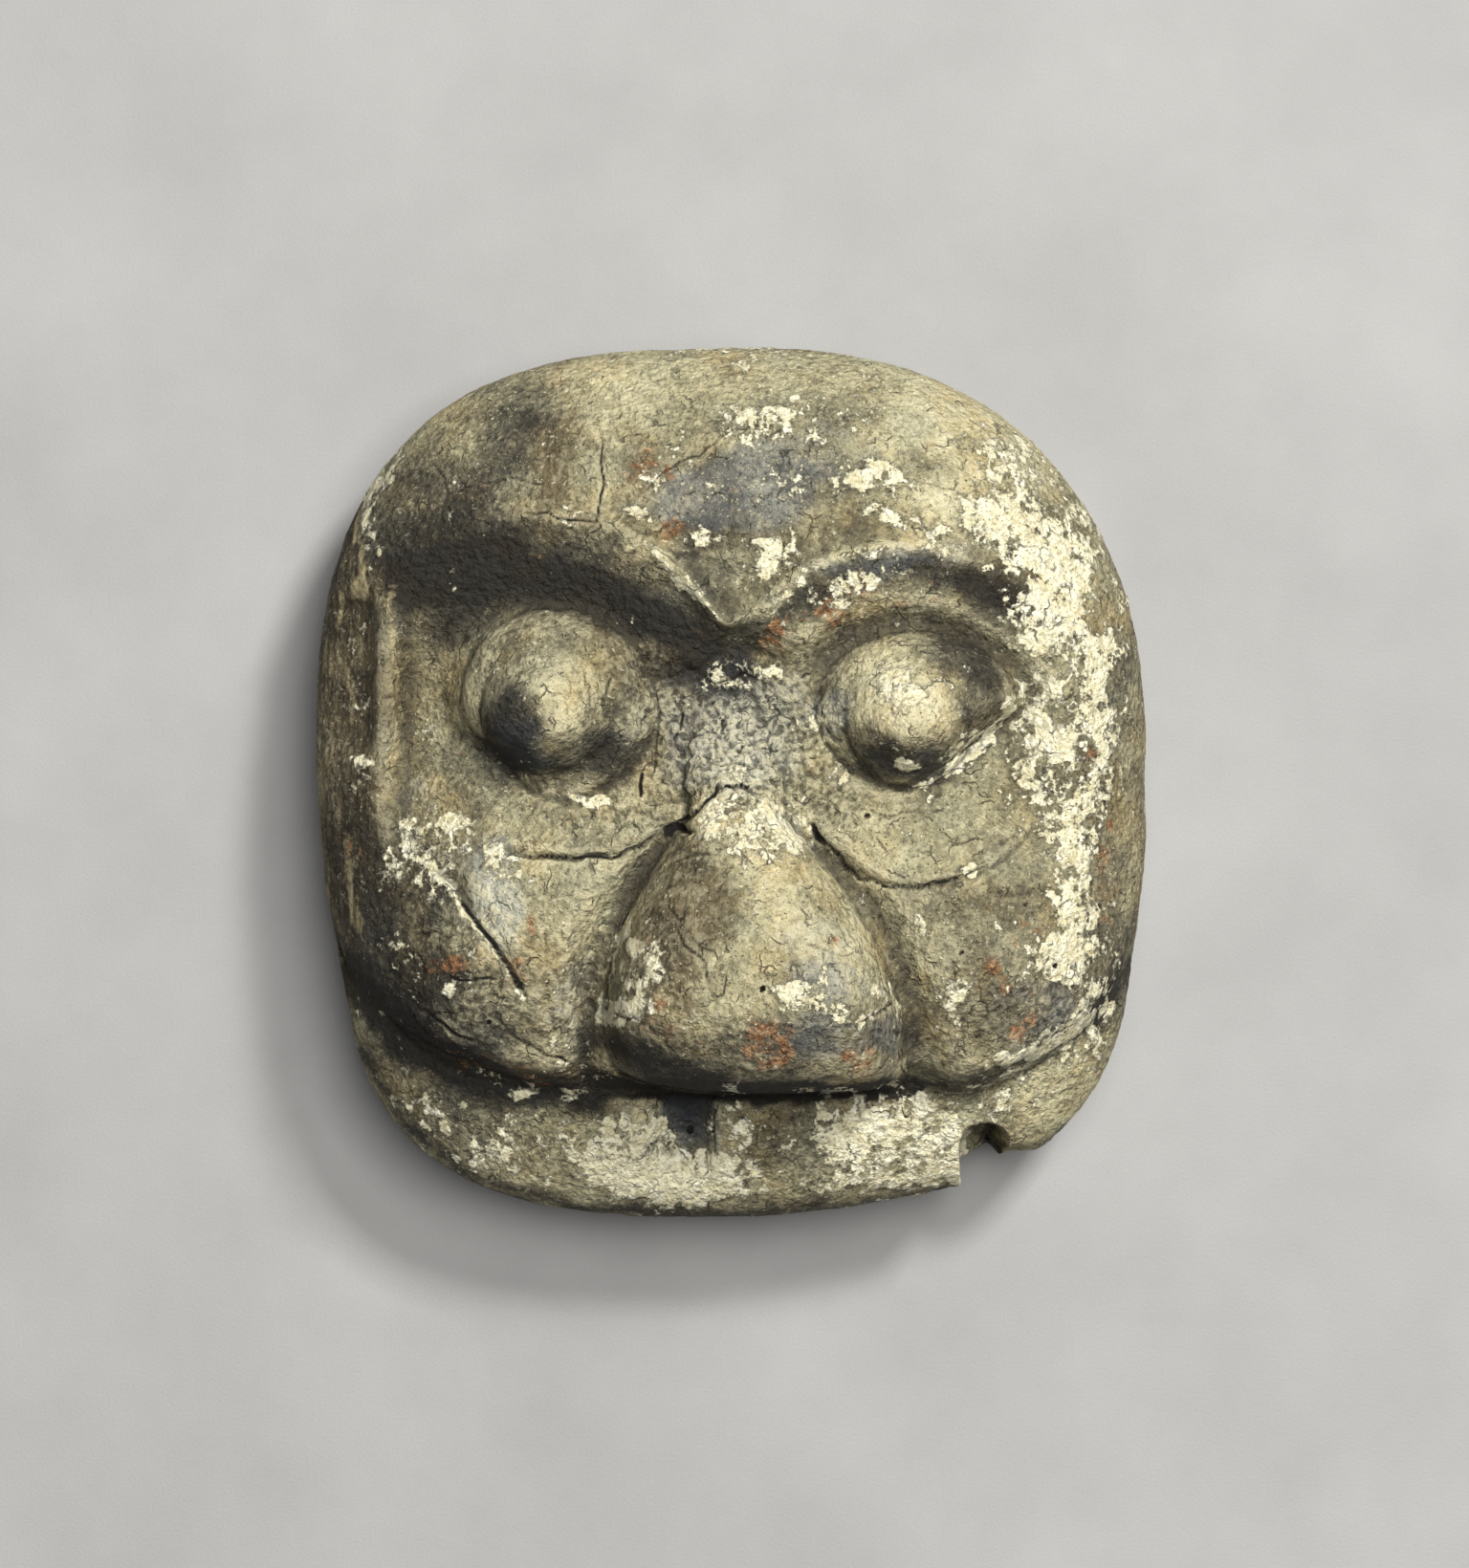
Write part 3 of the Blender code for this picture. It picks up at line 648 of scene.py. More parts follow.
CREAM_STROKES = [
    (30, 19, 630, 1200, 660, 1228, 715, 1245),
    # worn cream and painted highlight along the left brow's ridge near the nose
    (6, 55, 672, 572, 700, 592, 720, 614, 748, 647),
    # cream along the scar's raised left edge, partly painted highlight on its lit side
    (4, 60, 455, 915, 470, 925, 478, 940, 500, 970, 520, 1000, 548, 1045),
    (5, 50, 1057, 736, 1032, 772, 1006, 795, 983, 815, 947, 825),
    (7, 46, 1035, 1110, 1080, 1105, 1120, 1080, 1165, 1050),
    (6, 40, 625, 1045, 650, 1050, 680, 1075),
    (4, 46, 656, 962, 642, 1000, 630, 1040, 628, 1064),
    (9, 40, 1000, 1183, 1003, 1205, 1006, 1235),
    (7, 30, 800, 640, 845, 600, 900, 580, 1000, 574),
]

# Cracks, and the painted shadow lines under the nose and the left cheek: width and depth in hundredths of a
# millimetre, then x and y by turns
CRACKS_AND_SHADOW_LINES = [
    (75, 180, 478, 934, 492, 955, 505, 974, 524, 1000, 538, 1020, 549, 1042),
    # a black line under the nose and one under the left cheek: painted shadow over a shallow groove
    (150, 90, 625, 1147, 700, 1145, 800, 1147, 900, 1144, 955, 1142),
    (110, 90, 392, 1050, 440, 1097, 490, 1123, 560, 1141, 625, 1148),
    (120, 260, 694, 873, 706, 864, 722, 867),
    (43, 120, 628, 450, 632, 500, 625, 545, 600, 543, 583, 541, 545, 533),
    (37, 90, 665, 522, 697, 490, 731, 474, 750, 462, 765, 448, 800, 443),
    (56, 170, 700, 864, 728, 851, 745, 832, 752, 823, 775, 822, 790, 830),
    (56, 130, 465, 1020, 490, 1024, 520, 1022), (43, 100, 450, 1060, 475, 1060),
    (43, 100, 435, 978, 455, 975, 470, 980), (45, 110, 700, 722, 714, 748, 706, 776, 722, 802),
    (45, 100, 742, 728, 756, 758, 746, 790), (45, 100, 798, 722, 814, 748, 806, 776, 820, 800),
    (40, 90, 700, 776, 730, 770, 756, 758, 790, 764, 814, 748, 846, 756),
    (43, 90, 683, 710, 690, 750, 686, 790, 680, 820), (37, 90, 640, 705, 632, 735, 636, 760),
    (62, 160, 540, 893, 570, 897, 640, 897, 672, 884, 690, 872),
    (50, 130, 855, 870, 872, 893, 900, 918, 925, 925, 960, 927, 1000, 918, 1035, 906),
    (37, 70, 998, 885, 1012, 882, 1030, 875), (43, 90, 880, 1075, 915, 1062, 937, 1045),
    (37, 70, 1010, 1057, 1035, 1065), (37, 70, 990, 1040, 1000, 1055),
    (62, 120, 690, 712, 720, 700, 750, 716, 780, 704, 800, 716), (43, 90, 860, 740, 868, 765, 880, 780),
    (37, 70, 900, 846, 930, 852, 965, 846), (43, 100, 748, 1145, 746, 1180, 750, 1215),
    (37, 70, 610, 700, 618, 730, 612, 760), (31, 60, 500, 505, 540, 500, 575, 512),
    (31, 60, 840, 985, 880, 1000, 915, 990), (37, 70, 700, 905, 725, 893, 750, 895),
    (50, 160, 671, 808, 670, 820, 668, 834), (80, 240, 851, 860, 856, 872, 863, 884),
    (50, 130, 425, 1048, 452, 1062, 480, 1084, 520, 1098),
    (45, 110, 510, 1058, 540, 1086, 575, 1104, 600, 1112), (40, 100, 432, 990, 446, 1012, 438, 1034),
    (45, 110, 640, 1060, 662, 1066, 684, 1080, 700, 1084),
    (37, 90, 705, 965, 716, 990, 738, 1004, 742, 1030), (37, 80, 450, 480, 470, 510, 462, 540, 486, 560),
]

# Insect holes and pits: where they are, and their radius and depth in millimetres
HOLES = [
    (797, 1035, 1.1, 2.6), (722, 1182, 1.3, 3), (512, 1070, 0.9, 2), (500, 968, 1.1, 2.2),
    (1103, 1010, 1.1, 2.2), (1073, 945, 0.8, 2), (1007, 998, 0.8, 1.8), (921, 1080, 0.8, 1.8),
    (936, 1080, 0.8, 1.8), (907, 853, 1.1, 1.6), (1150, 948, 0.8, 1.6),
]

# How far noise moves drawn lines and edges about, in pixels of the photograph
LINE_WANDER = 3
EDGE_WANDER = 13
# The little cream that is left even where no patch is drawn, and the most that patches give
CREAM_EVERYWHERE, CREAM_MOST = 0.07, 0.7


def wandering(points, size, reach, seed):
    """Pixels of the photograph where points are seen, moved about so that drawn edges come out ragged."""
    across, down = seen(points)
    return across + reach * noise(points, size, seed), down + reach * noise(points, size, seed + 1)


def layers(points):
    """What covers each place on the carved side. Each layer shows where it is over about 0.5."""
    across, down = seen(points)
    a, d = wandering(points, 16, EDGE_WANDER, 31)
    fine_a, fine_d = wandering(points, 5, 4, 33)
    a, d = a + fine_a - across, d + fine_d - down
    speck = rough(points, 11, 5, 21, 0.62)
    flake = rough(points * (1, 0.8, 0.7), 6.5, 4, 22, 0.85)
    near_a, near_d = wandering(points, 5, 5, 35)
    tone = 0.5 + patches(a, d, TONE_PATCHES) + strokes(near_a, near_d, TONE_STROKES) + 0.17 * speck
    cream = np.minimum(0.86 * patches(a, d, CREAM_PATCHES) + CREAM_EVERYWHERE, CREAM_MOST)
    cream = cream + strokes(near_a, near_d, CREAM_STROKES) + 0.5 * flake
    red = 0.9 * np.minimum(patches(a, d, RED_PATCHES), 0.8) + 0.5 * rough(points, 5, 4, 23, 0.7)
    blue = np.minimum(patches(a, d, BLUE_PATCHES), 0.9) + 0.36 * rough(points, 14, 5, 24, 0.66)
    wood = np.minimum(patches(a, d, WOOD_PATCHES), 1) + 0.36 * rough(points * (1, 0.3, 1), 9, 4, 25)
    straw = strokes(a, d, STRAW_STROKES) + 0.4 * rough(points * (1, 0.14, 1), 4, 4, 26, 0.7)
    return tone, cream, red, blue, wood, straw


def cracks(points):
    """How deep the cracks, the holes and the grooves of the painted shadow lines are at each place, in
    millimetres.
    """
    across, down = seen(points)
    a, d = wandering(points, 5, LINE_WANDER, 41)
    depth = np.zeros(across.shape)
    for width, deep, *line in CRACKS_AND_SHADOW_LINES:
        away, along = distance_to(np.reshape(line, (-1, 2)), a, d)
        ends = 0.35 + 0.65 * smooth(along / 0.15) * smooth((1 - along) / 0.15)
        depth = np.maximum(depth, deep / 100 * ends * bell(away * PIXEL, width / 100))
    for x, y, radius, deep in HOLES:
        away = np.hypot(a - x, d - y) * PIXEL
        depth = np.maximum(depth, deep * (1 - smooth((away - radius * 0.5) / (radius * 0.7))))
    return depth


# Ground that is rougher than the rest
ROUGH_PATCHES = [
    (765, 770, 96, 96, 100), (690, 690, 40, 24, 60, 30), (870, 830, 30, 60, 50),
    (640, 560, 120, 30, 50, 10), (860, 640, 60, 26, 70, -20), (480, 1040, 80, 60, 60, 20),
    (600, 1060, 26, 90, 60, 5), (1090, 1060, 60, 50, 50), (690, 1100, 70, 30, 50), (640, 1210, 120, 40, 35),
    (930, 1200, 80, 50, 35), (660, 840, 30, 30, 60),
]

# Where the crust is thick and breaks into lumps
CRUST_PATCHES = [
    (765, 765, 92, 84, 130), (690, 700, 50, 26, 80, 20), (872, 846, 34, 34, 80), (660, 850, 34, 34, 70),
    (640, 570, 110, 22, 35, 10), (900, 645, 70, 18, 40, -10), (465, 1030, 80, 76, 80, 20),
    (610, 1040, 22, 90, 50, 12), (690, 1105, 60, 26, 35), (690, 1030, 40, 34, 35), (800, 1095, 34, 34, 40),
    (900, 1108, 24, 20, 40), (440, 560, 60, 60, 25), (1090, 1050, 50, 50, 30), (740, 895, 40, 18, 35),
]
# Heights in millimetres of the lumps and of a flake of gesso, and how many steps a lump has
CRUST_LUMPS = 3
CREAM_STEP = 0.36
LUMP_STEPS = 1.5

# The old cut across the left cheek
SCAR = np.array([(450, 908), (470, 925), (480, 943), (500, 970), (520, 1000), (535, 1022), (550, 1048)])


def scar(points):
    """The skin of the wood stands up on the left of the cut, and the cut is on its right."""
    a, d = wandering(points, 5, LINE_WANDER, 43)
    away, along = distance_to(SCAR, a, d)
    ends = smooth(along / 0.12) * smooth((1 - along) / 0.12)
    right = a > np.interp(d, SCAR[:, 1], SCAR[:, 0])
    away = away * PIXEL
    lower = 1.8 - 3.8 * smooth(away / 0.9) + 2 * smooth((away - 1.5) / 9)
    return ends * np.where(right, lower, 1.8 * bell(away, 9))


def lumps(points):
    """Flat-topped lumps with steep, gritty sides, about -1 to 1."""
    height = LUMP_STEPS * rough(points, 10, 3, 56, 0.5)
    whole = np.floor(height)
    steps = (whole + smooth((height - whole - 0.3) / 0.4)) / LUMP_STEPS
    return 0.6 * steps + 0.5 * rough(points, 4.5, 4, 57, 0.75)


def relief(points):
    """The height that the surface's detail adds at each place on the carved side, in millimetres."""
    across, down = seen(points)
    cream = layers(points)[1]
    ground = np.minimum(patches(across, down, ROUGH_PATCHES), 1)
    uneven = 0.6 * rough(points, 34, 3, 51) + 0.42 * rough(points, 6, 4, 52, 0.74)
    coarse = ground * (0.9 * rough(points, 9, 4, 53, 0.7) + 0.5 * rough(points, 3.2, 2, 54, 0.7))
    crust = np.minimum(patches(across, down, CRUST_PATCHES), 1.4) * CRUST_LUMPS * lumps(points)
    step = CREAM_STEP * smooth((cream - 0.45) / 0.08)
    wall = smooth((400 - across) / 30) * smooth((down - 440) / 60)
    grain = wall * 0.6 * rough(points * (1, 0.12, 1), 5, 3, 55, 0.7)
    return uneven + coarse + crust + step + grain + scar(points) - cracks(points)


def gouged(points):
    """The shallow cuts of a gouge inside the hollow, in millimetres."""
    wave = points[..., 0] / 13 + 0.8 * noise(points, 40, 61)
    break_up = points[..., 1] / 34 + 0.5 * noise(points, 30, 62) + 0.5 * np.floor(wave)
    cut = np.abs(np.sin(wave * math.pi)) * (0.6 + 0.4 * np.abs(np.sin(break_up * math.pi)))
    return 0.8 * cut + 0.25 * rough(points, 8, 3, 63)


def outward(points):
    """Unit normals of a grid of points, facing away from the sheet's back."""
    normal = np.cross(np.gradient(points, axis=0), np.gradient(points, axis=1))
    return normal / np.maximum(np.linalg.norm(normal, axis=-1, keepdims=True), 1e-12)


# Meshes


def put_in_scene(name, data):
    thing = bpy.data.objects.new(name, data)
    bpy.context.scene.collection.objects.link(thing)
    return thing


def grid_mesh(points, name):
    """Quads over a grid of points, facing +Z."""
    n = len(points)
    corner = np.arange(n * n).reshape(n, n)
    quads = np.stack([corner[:-1, :-1], corner[1:, :-1], corner[1:, 1:], corner[:-1, 1:]], axis=-1)
    mesh = bpy.data.meshes.new(name)
    mesh.from_pydata(points.reshape(-1, 3), [], quads.reshape(-1, 4))
    return mesh


def reduced(mesh, triangles):
    """The mesh with only the triangles its shape needs."""
    sheet = put_in_scene(mesh.name, mesh)
    decimate = sheet.modifiers.new("Decimate", "DECIMATE")
    decimate.ratio = triangles / (2 * len(mesh.polygons))
    graph = bpy.context.evaluated_depsgraph_get()
    result = bpy.data.meshes.new_from_object(sheet.evaluated_get(graph))
    bpy.data.objects.remove(sheet)
    return result


def edge_loop(bm):
    """The verts of a sheet's open edge, in order, counterclockwise from above."""
    start = next(edge for edge in bm.edges if edge.is_boundary)
    first, vert = start.verts
    loop = [first]
    while vert is not first:
        loop.append(vert)
        ahead = [edge.other_vert(vert) for edge in vert.link_edges if edge.is_boundary]
        vert = ahead[0] if ahead[1] is loop[-2] else ahead[1]
    turns = np.unwrap([angle_of(vert) for vert in loop])
    return loop if turns[-1] > turns[0] else loop[::-1]


def angle_of(vert):
    return math.atan2(vert.co.y, vert.co.x)


def from_nearest(loop, vert):
    """A loop of verts, started at the one whose direction is nearest to a vert's."""
    gaps = [abs((angle_of(v) - angle_of(vert) + math.pi) % (2 * math.pi) - math.pi) for v in loop]
    start = gaps.index(min(gaps))
    return loop[start:] + loop[:start]


def fill_rim(bm, outer, inner):
    """Triangles across the flat rim, between the edge of the carved side and the edge of the hollow."""
    outer_turn = np.unwrap([angle_of(vert) for vert in outer] + [angle_of(outer[0])])
    inner_turn = np.unwrap([angle_of(vert) for vert in inner] + [angle_of(inner[0])])
    i, j = 0, 0
    while i < len(outer) or j < len(inner):
        a, b = outer[i % len(outer)], inner[j % len(inner)]
        if j == len(inner) or (i < len(outer) and outer_turn[i + 1] <= inner_turn[j + 1]):
            i += 1
            bm.faces.new((a, b, outer[i % len(outer)]))
        else:
            j += 1
            bm.faces.new((a, b, inner[j % len(inner)]))


def carved_side():
    p, q = even_lines(outer_surface, DRAFT_QUADS, wall_weight=0.45)
    points = outer_surface(finer(p, FACE_QUADS), finer(q, FACE_QUADS))
    # The detail fades out at the very rim, which lies on the floor
    fade = smooth(points[..., 2:3] / 4)
    points = points + outward(points) * relief(points)[..., None] * fade
    return reduced(grid_mesh(points * SIZE, "carved_side"), FACE_TRIANGLES)


def hollow_side():
    points = cavity_surface(*even_lines(cavity_surface, HOLLOW_QUADS))
    fade = smooth(points[..., 2:3] / 6)
    points = points + outward(points) * gouged(points)[..., None] * fade
    return grid_mesh(points * SIZE, "hollow")


def carved_mask():
    """The whole mask's mesh, and how many of its verts are on the carved side."""
    bm = bmesh.new()
    bm.from_mesh(carved_side())
    carved_count = len(bm.verts)
    outer = edge_loop(bm)
    hollow = bmesh.new()
    hollow.from_mesh(hollow_side())
    inner = edge_loop(hollow)
    rows = {vert: bm.verts.new(vert.co) for vert in hollow.verts}
    for face in hollow.faces:
        bm.faces.new([rows[vert] for vert in face.verts])
    inner = [rows[vert] for vert in inner]
    for vert in outer + inner:
        vert.co.z = 0
    fill_rim(bm, outer, from_nearest(inner, outer[0]))
    hollow.free()
    bmesh.ops.recalc_face_normals(bm, faces=bm.faces)
    bmesh.ops.triangulate(bm, faces=bm.faces)
    mesh = bpy.data.meshes.new("carved_mask")
    bm.to_mesh(mesh)
    bm.free()
    mesh.shade_smooth()
    return mesh, carved_count


# What the shader reads at each vertex


def vertex_values(mesh, name):
    values = np.empty(len(mesh.vertices) * 3)
    mesh.vertices.foreach_get(name, values)
    return values.reshape(-1, 3)


def neighbour_offset(mesh, rounds):
    """How far the surface around each vertex stands over it, in millimetres, after some averaging."""
    count = len(mesh.vertices)
    start = vertex_values(mesh, "co")
    ends = np.empty(len(mesh.edges) * 2, np.int32)
    mesh.edges.foreach_get("vertices", ends)
    a, b = ends.reshape(-1, 2).T
    around = np.bincount(np.concatenate([a, b]), minlength=count)
    place = start.copy()
    for _ in range(rounds):
        moved = np.stack([
            np.bincount(a, place[b, i], count) + np.bincount(b, place[a, i], count) for i in range(3)
        ], axis=-1)
        place = 0.5 * place + 0.5 * moved / around[:, None]
    return 1000 * np.sum((place - start) * vertex_values(mesh, "normal"), axis=-1)


def store(mesh, name, red, green, blue):
    """Three values at each vertex, kept as one colour."""
    layer = mesh.attributes.new(name, "FLOAT_COLOR", "POINT")
    values = np.stack([red, green, blue, np.ones(len(red))], axis=-1)
    layer.data.foreach_set("color", np.clip(values, -4, 4).astype(np.float32).ravel())


def store_layers(mesh, carved_count):
    points = vertex_values(mesh, "co") / SIZE
    tone, cream, red, blue, wood, straw = layers(points)
    inside = (np.arange(len(points)) >= carved_count).astype(float)
    fine, wide = neighbour_offset(mesh, 3), neighbour_offset(mesh, 50)
    store(mesh, "paint", tone, cream, red)
    store(mesh, "stain", blue, wood, inside)
    # How hollow each place is, finely and broadly, and how deep the cracks are; the material paints dirt and
    # shade into the hollows from these
    store(mesh, "wear_and_shade", 0.5 + fine / 0.3, 0.5 + wide / 2.4, cracks(points))
    store(mesh, "fibre", straw, straw, straw)


# Materials


DUST_STOPS = [
    (0, (0.024, 0.022, 0.018)), (0.22, (0.07, 0.063, 0.044)), (0.42, (0.18, 0.162, 0.1)),
    (0.55, (0.3, 0.274, 0.165)), (0.72, (0.47, 0.43, 0.265)), (1, (0.76, 0.71, 0.49)),
]
BLUE_STOPS = [
    (0, (0.026, 0.03, 0.038)), (0.35, (0.105, 0.112, 0.112)), (0.55, (0.26, 0.268, 0.24)),
    (1, (0.56, 0.57, 0.48)),
]
WOOD_STOPS = [(0.25, (0.03, 0.023, 0.013)), (0.5, (0.135, 0.103, 0.056)), (0.75, (0.36, 0.285, 0.16))]
STRAW_STOPS = [(0.3, (0.2, 0.155, 0.075)), (0.5, (0.44, 0.37, 0.2)), (0.7, (0.66, 0.58, 0.36))]
RED_STOPS = [(0.3, (0.055, 0.028, 0.015)), (0.5, (0.21, 0.092, 0.036)), (0.75, (0.46, 0.24, 0.11))]
CREAM_STOPS = [(0.25, (0.54, 0.47, 0.27)), (0.5, (0.8, 0.76, 0.54)), (0.75, (0.92, 0.9, 0.74))]
HOLLOW_STOPS = [(0.2, (0.03, 0.021, 0.013)), (0.5, (0.105, 0.075, 0.045)), (0.8, (0.235, 0.18, 0.115))]
FLOOR_STOPS = [(0.3, (0.24, 0.24, 0.24)), (0.8, (0.3, 0.3, 0.3))]
# dark for the dirt in the fine cracks, and for dirt and painted shade in the hollows
DIRT_AND_SHADE = (0.03, 0.026, 0.018)
BUMP_DISTANCE = 0.0024


class Nodes:
    """Short ways to add the nodes of one material."""

    def __init__(self, name):
        self.material = bpy.data.materials.new(name)
        self.material.use_nodes = True
        self.tree = self.material.node_tree
        self.surface = self.tree.nodes["Principled BSDF"]

    def set(self, name, value):
        self.put(self.surface.inputs[name], value)

    def put(self, socket, value):
        if isinstance(value, bpy.types.NodeSocket):
            self.tree.links.new(value, socket)
        else:
            socket.default_value = value

    def new(self, kind, values=(), **settings):
        node = self.tree.nodes.new(kind)
        for name, value in settings.items():
            setattr(node, name, value)
        for name, value in dict(values).items():
            self.put(node.inputs[name], value)
        return node

    def fill(self, sockets, *values):
        for socket, value in zip(sockets, values):
            self.put(socket, value)

    def math(self, operation, *values, kind="ShaderNodeMath"):
        node = self.new(kind, operation=operation)
        self.fill(node.inputs, *values)
        return node.outputs[0]

    def add(self, base, value, weight):
        """The base with a weighted value added."""
        return self.math("MULTIPLY_ADD", value, weight, base)

    def times(self, a, b):
        return self.math("MULTIPLY", a, b)

    def noise(self, where, scale, detail, roughness, distortion=0):
        values = {"Vector": where, "Scale": scale, "Detail": detail, "Roughness": roughness}
        return self.new("ShaderNodeTexNoise", {**values, "Distortion": distortion}).outputs["Fac"]

    def stretched(self, where, scale):
        return self.new("ShaderNodeMapping", {"Vector": where, "Scale": scale}).outputs[0]

    def step(self, value, low, high):
        """0 below low and 1 above high, or the other way round where low is over high."""
        values = {"Value": value, "From Min": low, "From Max": high}
        return self.new("ShaderNodeMapRange", values).outputs[0]

    def cover(self, colour, amount, strength, over, blend="MIX"):
        """A colour with another over it, by an amount times a strength."""
        return self.mix(self.times(amount, strength), colour, over, blend)

    def mix(self, factor, a, b, blend="MIX"):
        node = self.new("ShaderNodeMix", data_type="RGBA", blend_type=blend)
        self.fill((node.inputs[0], *node.inputs[6:8]), factor, a, b)
        return node.outputs[2]

    def ramp(self, value, stops):
        node = self.new("ShaderNodeValToRGB", {"Fac": value})
        marks = node.color_ramp.elements
        while len(marks) < len(stops):
            marks.new(1)
        for mark, (place, colour) in zip(marks, stops):
            mark.position = place
            mark.color = (*colour, 1)
        return node.outputs[0]

    def parts(self, name):
        """The three values of a vertex layer."""
        layer = self.new("ShaderNodeAttribute", attribute_name=name)
        split = self.new("ShaderNodeSeparateColor", {"Color": layer.outputs["Color"]})
        return split.outputs[0], split.outputs[1], split.outputs[2]

    def bump(self, height, distance):
        return self.new("ShaderNodeBump", {"Height": height, "Distance": distance}).outputs[0]


def rgb(r, g, b):
    return (r, g, b, 1)


def old_painted_wood():
    n = Nodes("old_painted_wood")
    where = n.new("ShaderNodeTexCoord").outputs["Object"]
    tone, cream, red = n.parts("paint")
    blue, wood, inside = n.parts("stain")
    fine_hollow, wide_hollow, crack_and_shadow_line = n.parts("wear_and_shade")
    straw = n.parts("fibre")[0]

    fine = n.noise(where, 520, 6, 0.68)
    grit = n.noise(where, 1500, 4, 0.7)
    broad = n.noise(where, 130, 5, 0.6)
    ragged, ragged_grit, mottle = (n.math("SUBTRACT", value, 0.5) for value in (fine, grit, broad))

    def edged(value, fray, hardness):
        """A layer's cover, frayed by fine noise and made hard-edged."""
        value = n.add(value, ragged, fray)
        value = n.add(value, ragged_grit, 0.35 * fray)
        return n.step(value, 0.5 - 0.5 / hardness, 0.5 + 0.5 / hardness)

    # Dust and worn paint, from near black to pale
    shade = n.add(n.add(tone, ragged, 0.52), ragged_grit, 0.5)
    colour = n.ramp(n.add(shade, mottle, 0.42), DUST_STOPS)
    hue = n.noise(where, 42, 6, 0.62)
    colour = n.cover(colour, n.step(hue, 0.5, 0.66), 0.65, rgb(1.12, 0.94, 0.7), "MULTIPLY")
    colour = n.cover(colour, n.step(hue, 0.48, 0.34), 0.65, rgb(0.92, 1, 1.12), "MULTIPLY")

    # Blue-grey paint, then bare wood, red remains and cream gesso
    blue_shade = n.ramp(n.add(n.add(tone, ragged, 0.4), ragged_grit, 0.5), BLUE_STOPS)
    colour = n.cover(colour, edged(blue, 0.9, 2.4), 0.75, blue_shade)
    grain = n.noise(n.stretched(where, (900, 70, 260)), 1, 5, 0.65, 0.6)
    wood_shade = n.ramp(n.add(grain, n.math("SUBTRACT", tone, 0.5), 0.9), WOOD_STOPS)
    colour = n.cover(colour, edged(wood, 0.8, 2.5), 0.75, wood_shade)
    colour = n.cover(colour, edged(straw, 0.7, 3), 0.8, n.ramp(grain, STRAW_STOPS))
    red_shade = n.ramp(n.add(fine, ragged_grit, 0.8), RED_STOPS)
    colour = n.cover(colour, edged(red, 1, 4), 0.85, red_shade)
    lace = n.math("SUBTRACT", n.noise(where, 250, 7, 0.74), 0.5)
    cream_cover = edged(n.add(cream, lace, 1.6), 0.55, 9)
    cream_shade = n.ramp(n.add(fine, mottle, 0.9), CREAM_STOPS)
    colour = n.cover(colour, cream_cover, 0.92, cream_shade)

    # Scattered chips and pits
    chips = n.step(n.noise(where, 620, 3, 0.55), 0.615, 0.65)
    colour = n.cover(colour, chips, n.step(tone, 0, 0.8), rgb(0.7, 0.65, 0.45))
    pits = n.step(n.noise(where, 900, 3, 0.6), 0.36, 0.31)
    colour = n.cover(colour, pits, 0.8, rgb(0.035, 0.03, 0.022))

    # Dirt and painted shade in the hollows, lighter worn ridges, and black in the cracks and along the
    # painted shadow lines under the nose and the left cheek
    colour = n.cover(colour, n.step(fine_hollow, 0.62, 1.5), 0.6, rgb(*DIRT_AND_SHADE))
    colour = n.cover(colour, n.step(wide_hollow, 0.6, 1.6), 0.45, rgb(0.06, 0.052, 0.036))
    worn = n.step(n.add(fine_hollow, ragged, -0.7), 0.36, 0)
    worn = n.times(worn, n.step(tone, 0.15, 0.75))
    colour = n.cover(colour, worn, 0.5, rgb(0.66, 0.6, 0.4))
    # black in the cracks, and painted shadow along the lines under the nose and the left cheek
    colour = n.mix(n.step(crack_and_shadow_line, 0.3, 1), colour, rgb(0.012, 0.01, 0.008))

    # Fine cracks in the dry crust
    bend = n.new("ShaderNodeTexNoise", {"Vector": where, "Scale": 150, "Detail": 4}).outputs["Color"]
    bent = n.math("MULTIPLY_ADD", bend, (0.012, 0.012, 0.012), where, kind="ShaderNodeVectorMath")
    cells = n.new("ShaderNodeTexVoronoi", {"Vector": bent, "Scale": 85}, feature="DISTANCE_TO_EDGE")
    hairline = n.times(n.step(cells.outputs["Distance"], 0.045, 0), n.step(broad, 0.5, 0.62))
    colour = n.cover(colour, hairline, 0.7, rgb(*DIRT_AND_SHADE))

    # The hollow: bare aged wood with the marks of the gouge
    back_grain = n.noise(n.stretched(where, (420, 36, 200)), 1, 6, 0.62, 0.8)
    back = n.ramp(n.add(back_grain, mottle, 0.7), HOLLOW_STOPS)
    # darker in the gouge cuts: painted shade
    back = n.cover(back, n.step(fine_hollow, 0.5, 1.2), 0.6, rgb(0.03, 0.021, 0.013))
    colour = n.mix(inside, colour, back)
    n.set("Base Color", colour)

    roughness = n.add(0.7, fine, 0.22)
    n.set("Roughness", n.add(roughness, cream_cover, -0.06))
    n.set("Specular IOR Level", 0.22)

    height = n.times(cream_cover, 0.5)
    for value, weight in (
        (fine, 0.8), (n.noise(where, 330, 3, 0.5), 1.9), (chips, 0.25), (pits, -0.6),
        (hairline, -0.7), (n.times(grain, wood), 0.5), (grit, 0.15),
    ):
        height = n.add(height, value, weight)
    n.set("Normal", n.bump(height, BUMP_DISTANCE))
    return n.material


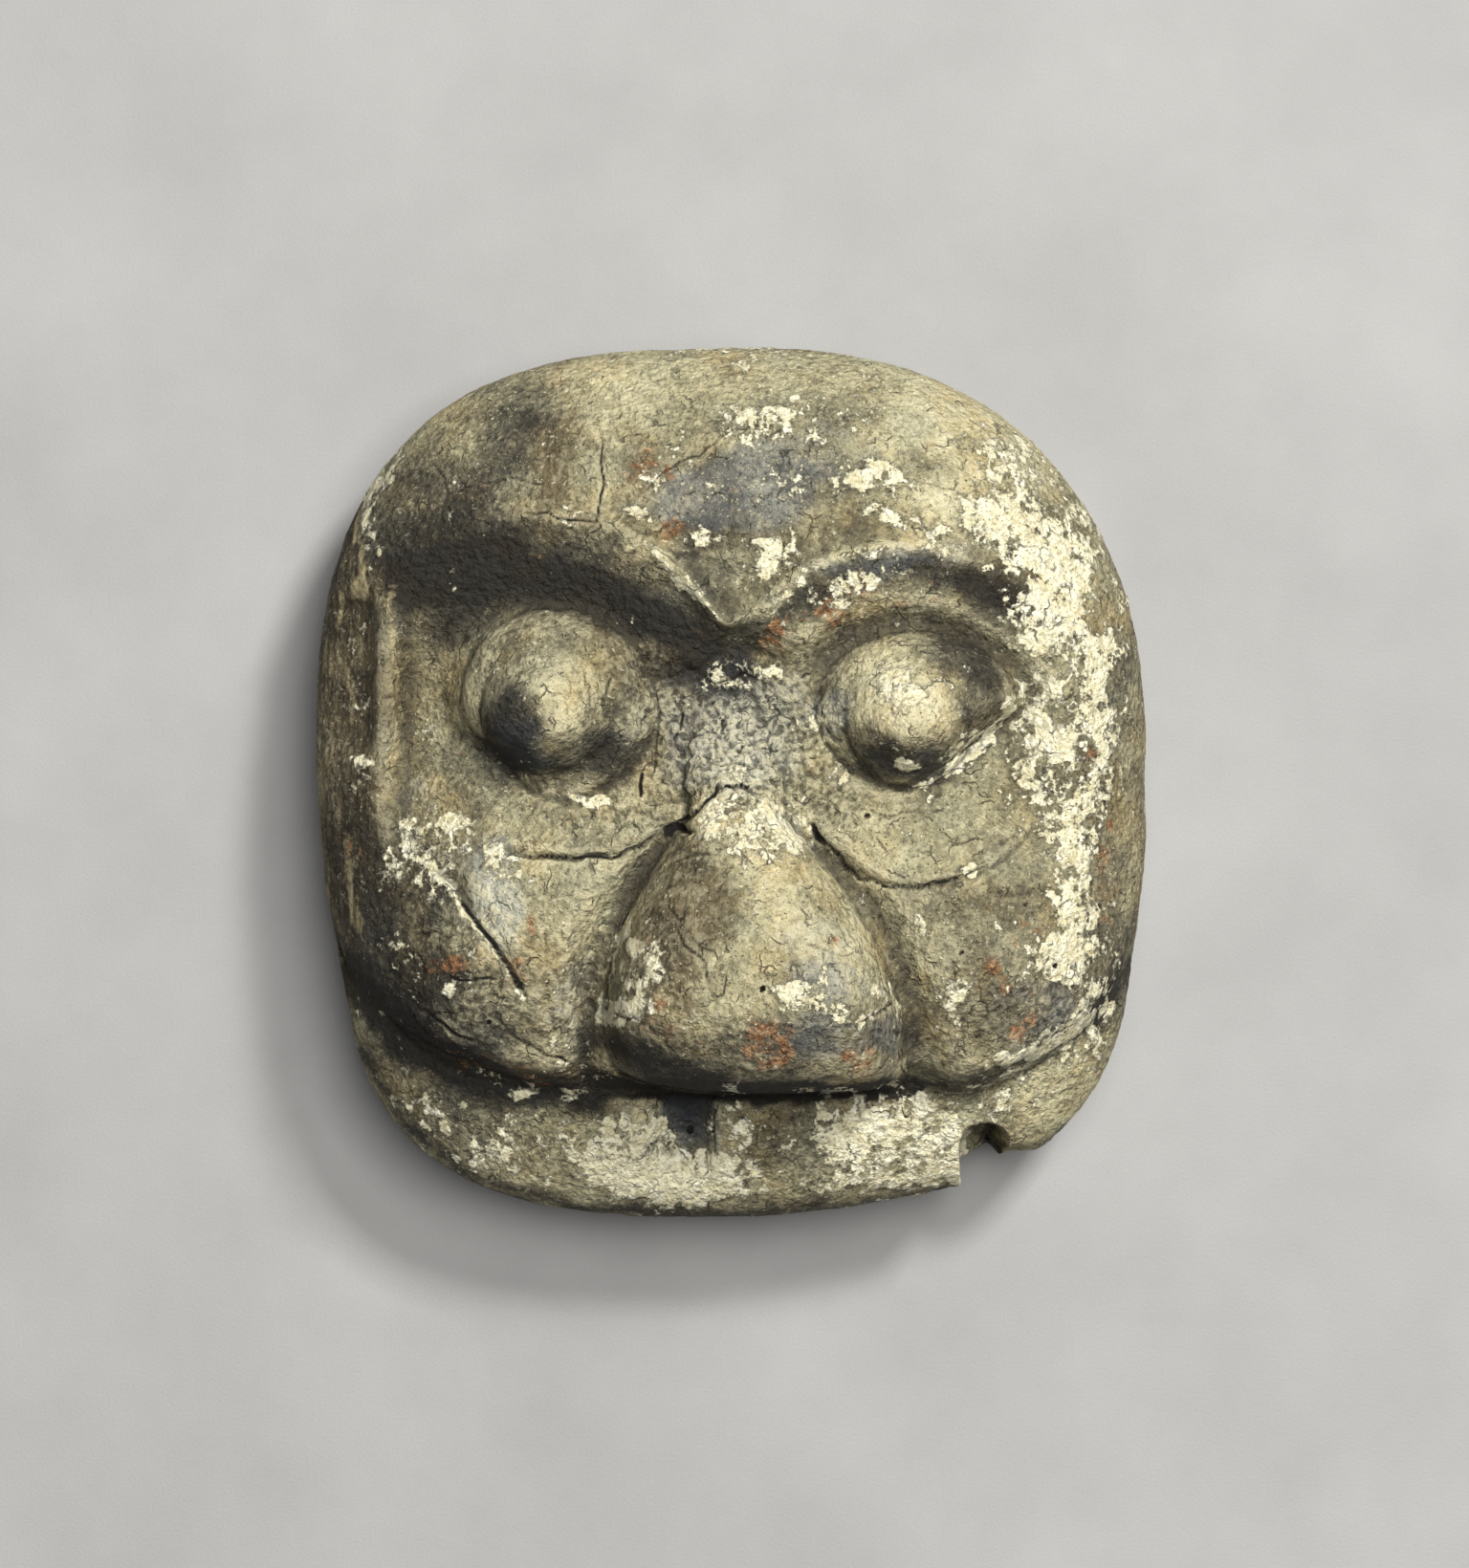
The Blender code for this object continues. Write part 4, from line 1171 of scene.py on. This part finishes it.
def pale_paper():
    n = Nodes("pale_floor")
    where = n.new("ShaderNodeTexCoord").outputs["Object"]
    cloud = n.noise(where, 9, 6, 0.6)
    fibre = n.noise(where, 900, 3, 0.6)
    shade = n.add(cloud, fibre, 0.12)
    n.set("Base Color", n.ramp(shade, FLOOR_STOPS))
    n.set("Roughness", 0.85)
    n.set("Normal", n.bump(fibre, 0.0002))
    return n.material


mask_mesh, carved_count = carved_mask()
store_layers(mask_mesh, carved_count)
mask_mesh.materials.append(old_painted_wood())
mask = put_in_scene("carved_mask", mask_mesh)

floor = put_in_scene("floor", bpy.data.meshes.new("floor"))
floor.data.from_pydata([(-3, -3, 0), (3, -3, 0), (3, 3, 0), (-3, 3, 0)], [], [(0, 1, 2, 3)])
floor.data.materials.append(pale_paper())


# Light and camera


LIGHTS_AIM = Vector((0, 0, 0.05))
WARM_WHITE = (1, 0.985, 0.95)


def area_light(name, place, size, power, colour):
    """A square light, its size in metres and its power in watts."""
    light = put_in_scene(name, bpy.data.lights.new(name, "AREA"))
    light.data.size = size
    light.data.energy = power
    light.data.color = colour
    light.location = place
    light.rotation_euler = (LIGHTS_AIM - Vector(place)).to_track_quat("-Z", "Y").to_euler()


area_light("key", (1.3, 1.7, 2.9), 0.6, 146, (1, 0.975, 0.92))
area_light("overhead", (0.5, 0.4, 3.3), 1.4, 118, WARM_WHITE)
area_light("fill", (-1.4, -0.9, 1.6), 1.6, 4, (0.97, 0.98, 1))
world = bpy.data.worlds.new("studio")
world.use_nodes = True
background = world.node_tree.nodes["Background"].inputs
background["Color"].default_value = rgb(*WARM_WHITE)
background["Strength"].default_value = 0.1
bpy.context.scene.world = world
bpy.context.scene.view_settings.view_transform = "Standard"

LENS, SENSOR = 135, 36
camera = put_in_scene("camera", bpy.data.cameras.new("camera"))
camera.data.lens = LENS
camera.data.sensor_fit = "VERTICAL"
camera.data.sensor_height = SENSOR
middle = (np.array(PHOTO) / 2 - MASK_MIDDLE) * (1, -1) * PIXEL / 1000
camera.location = (middle[0], middle[1], PHOTO[1] * PIXEL / 1000 / SENSOR * LENS + WIDEST / 1000)
bpy.context.scene.camera = camera

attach(mask, "root")
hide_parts("lion_mask")
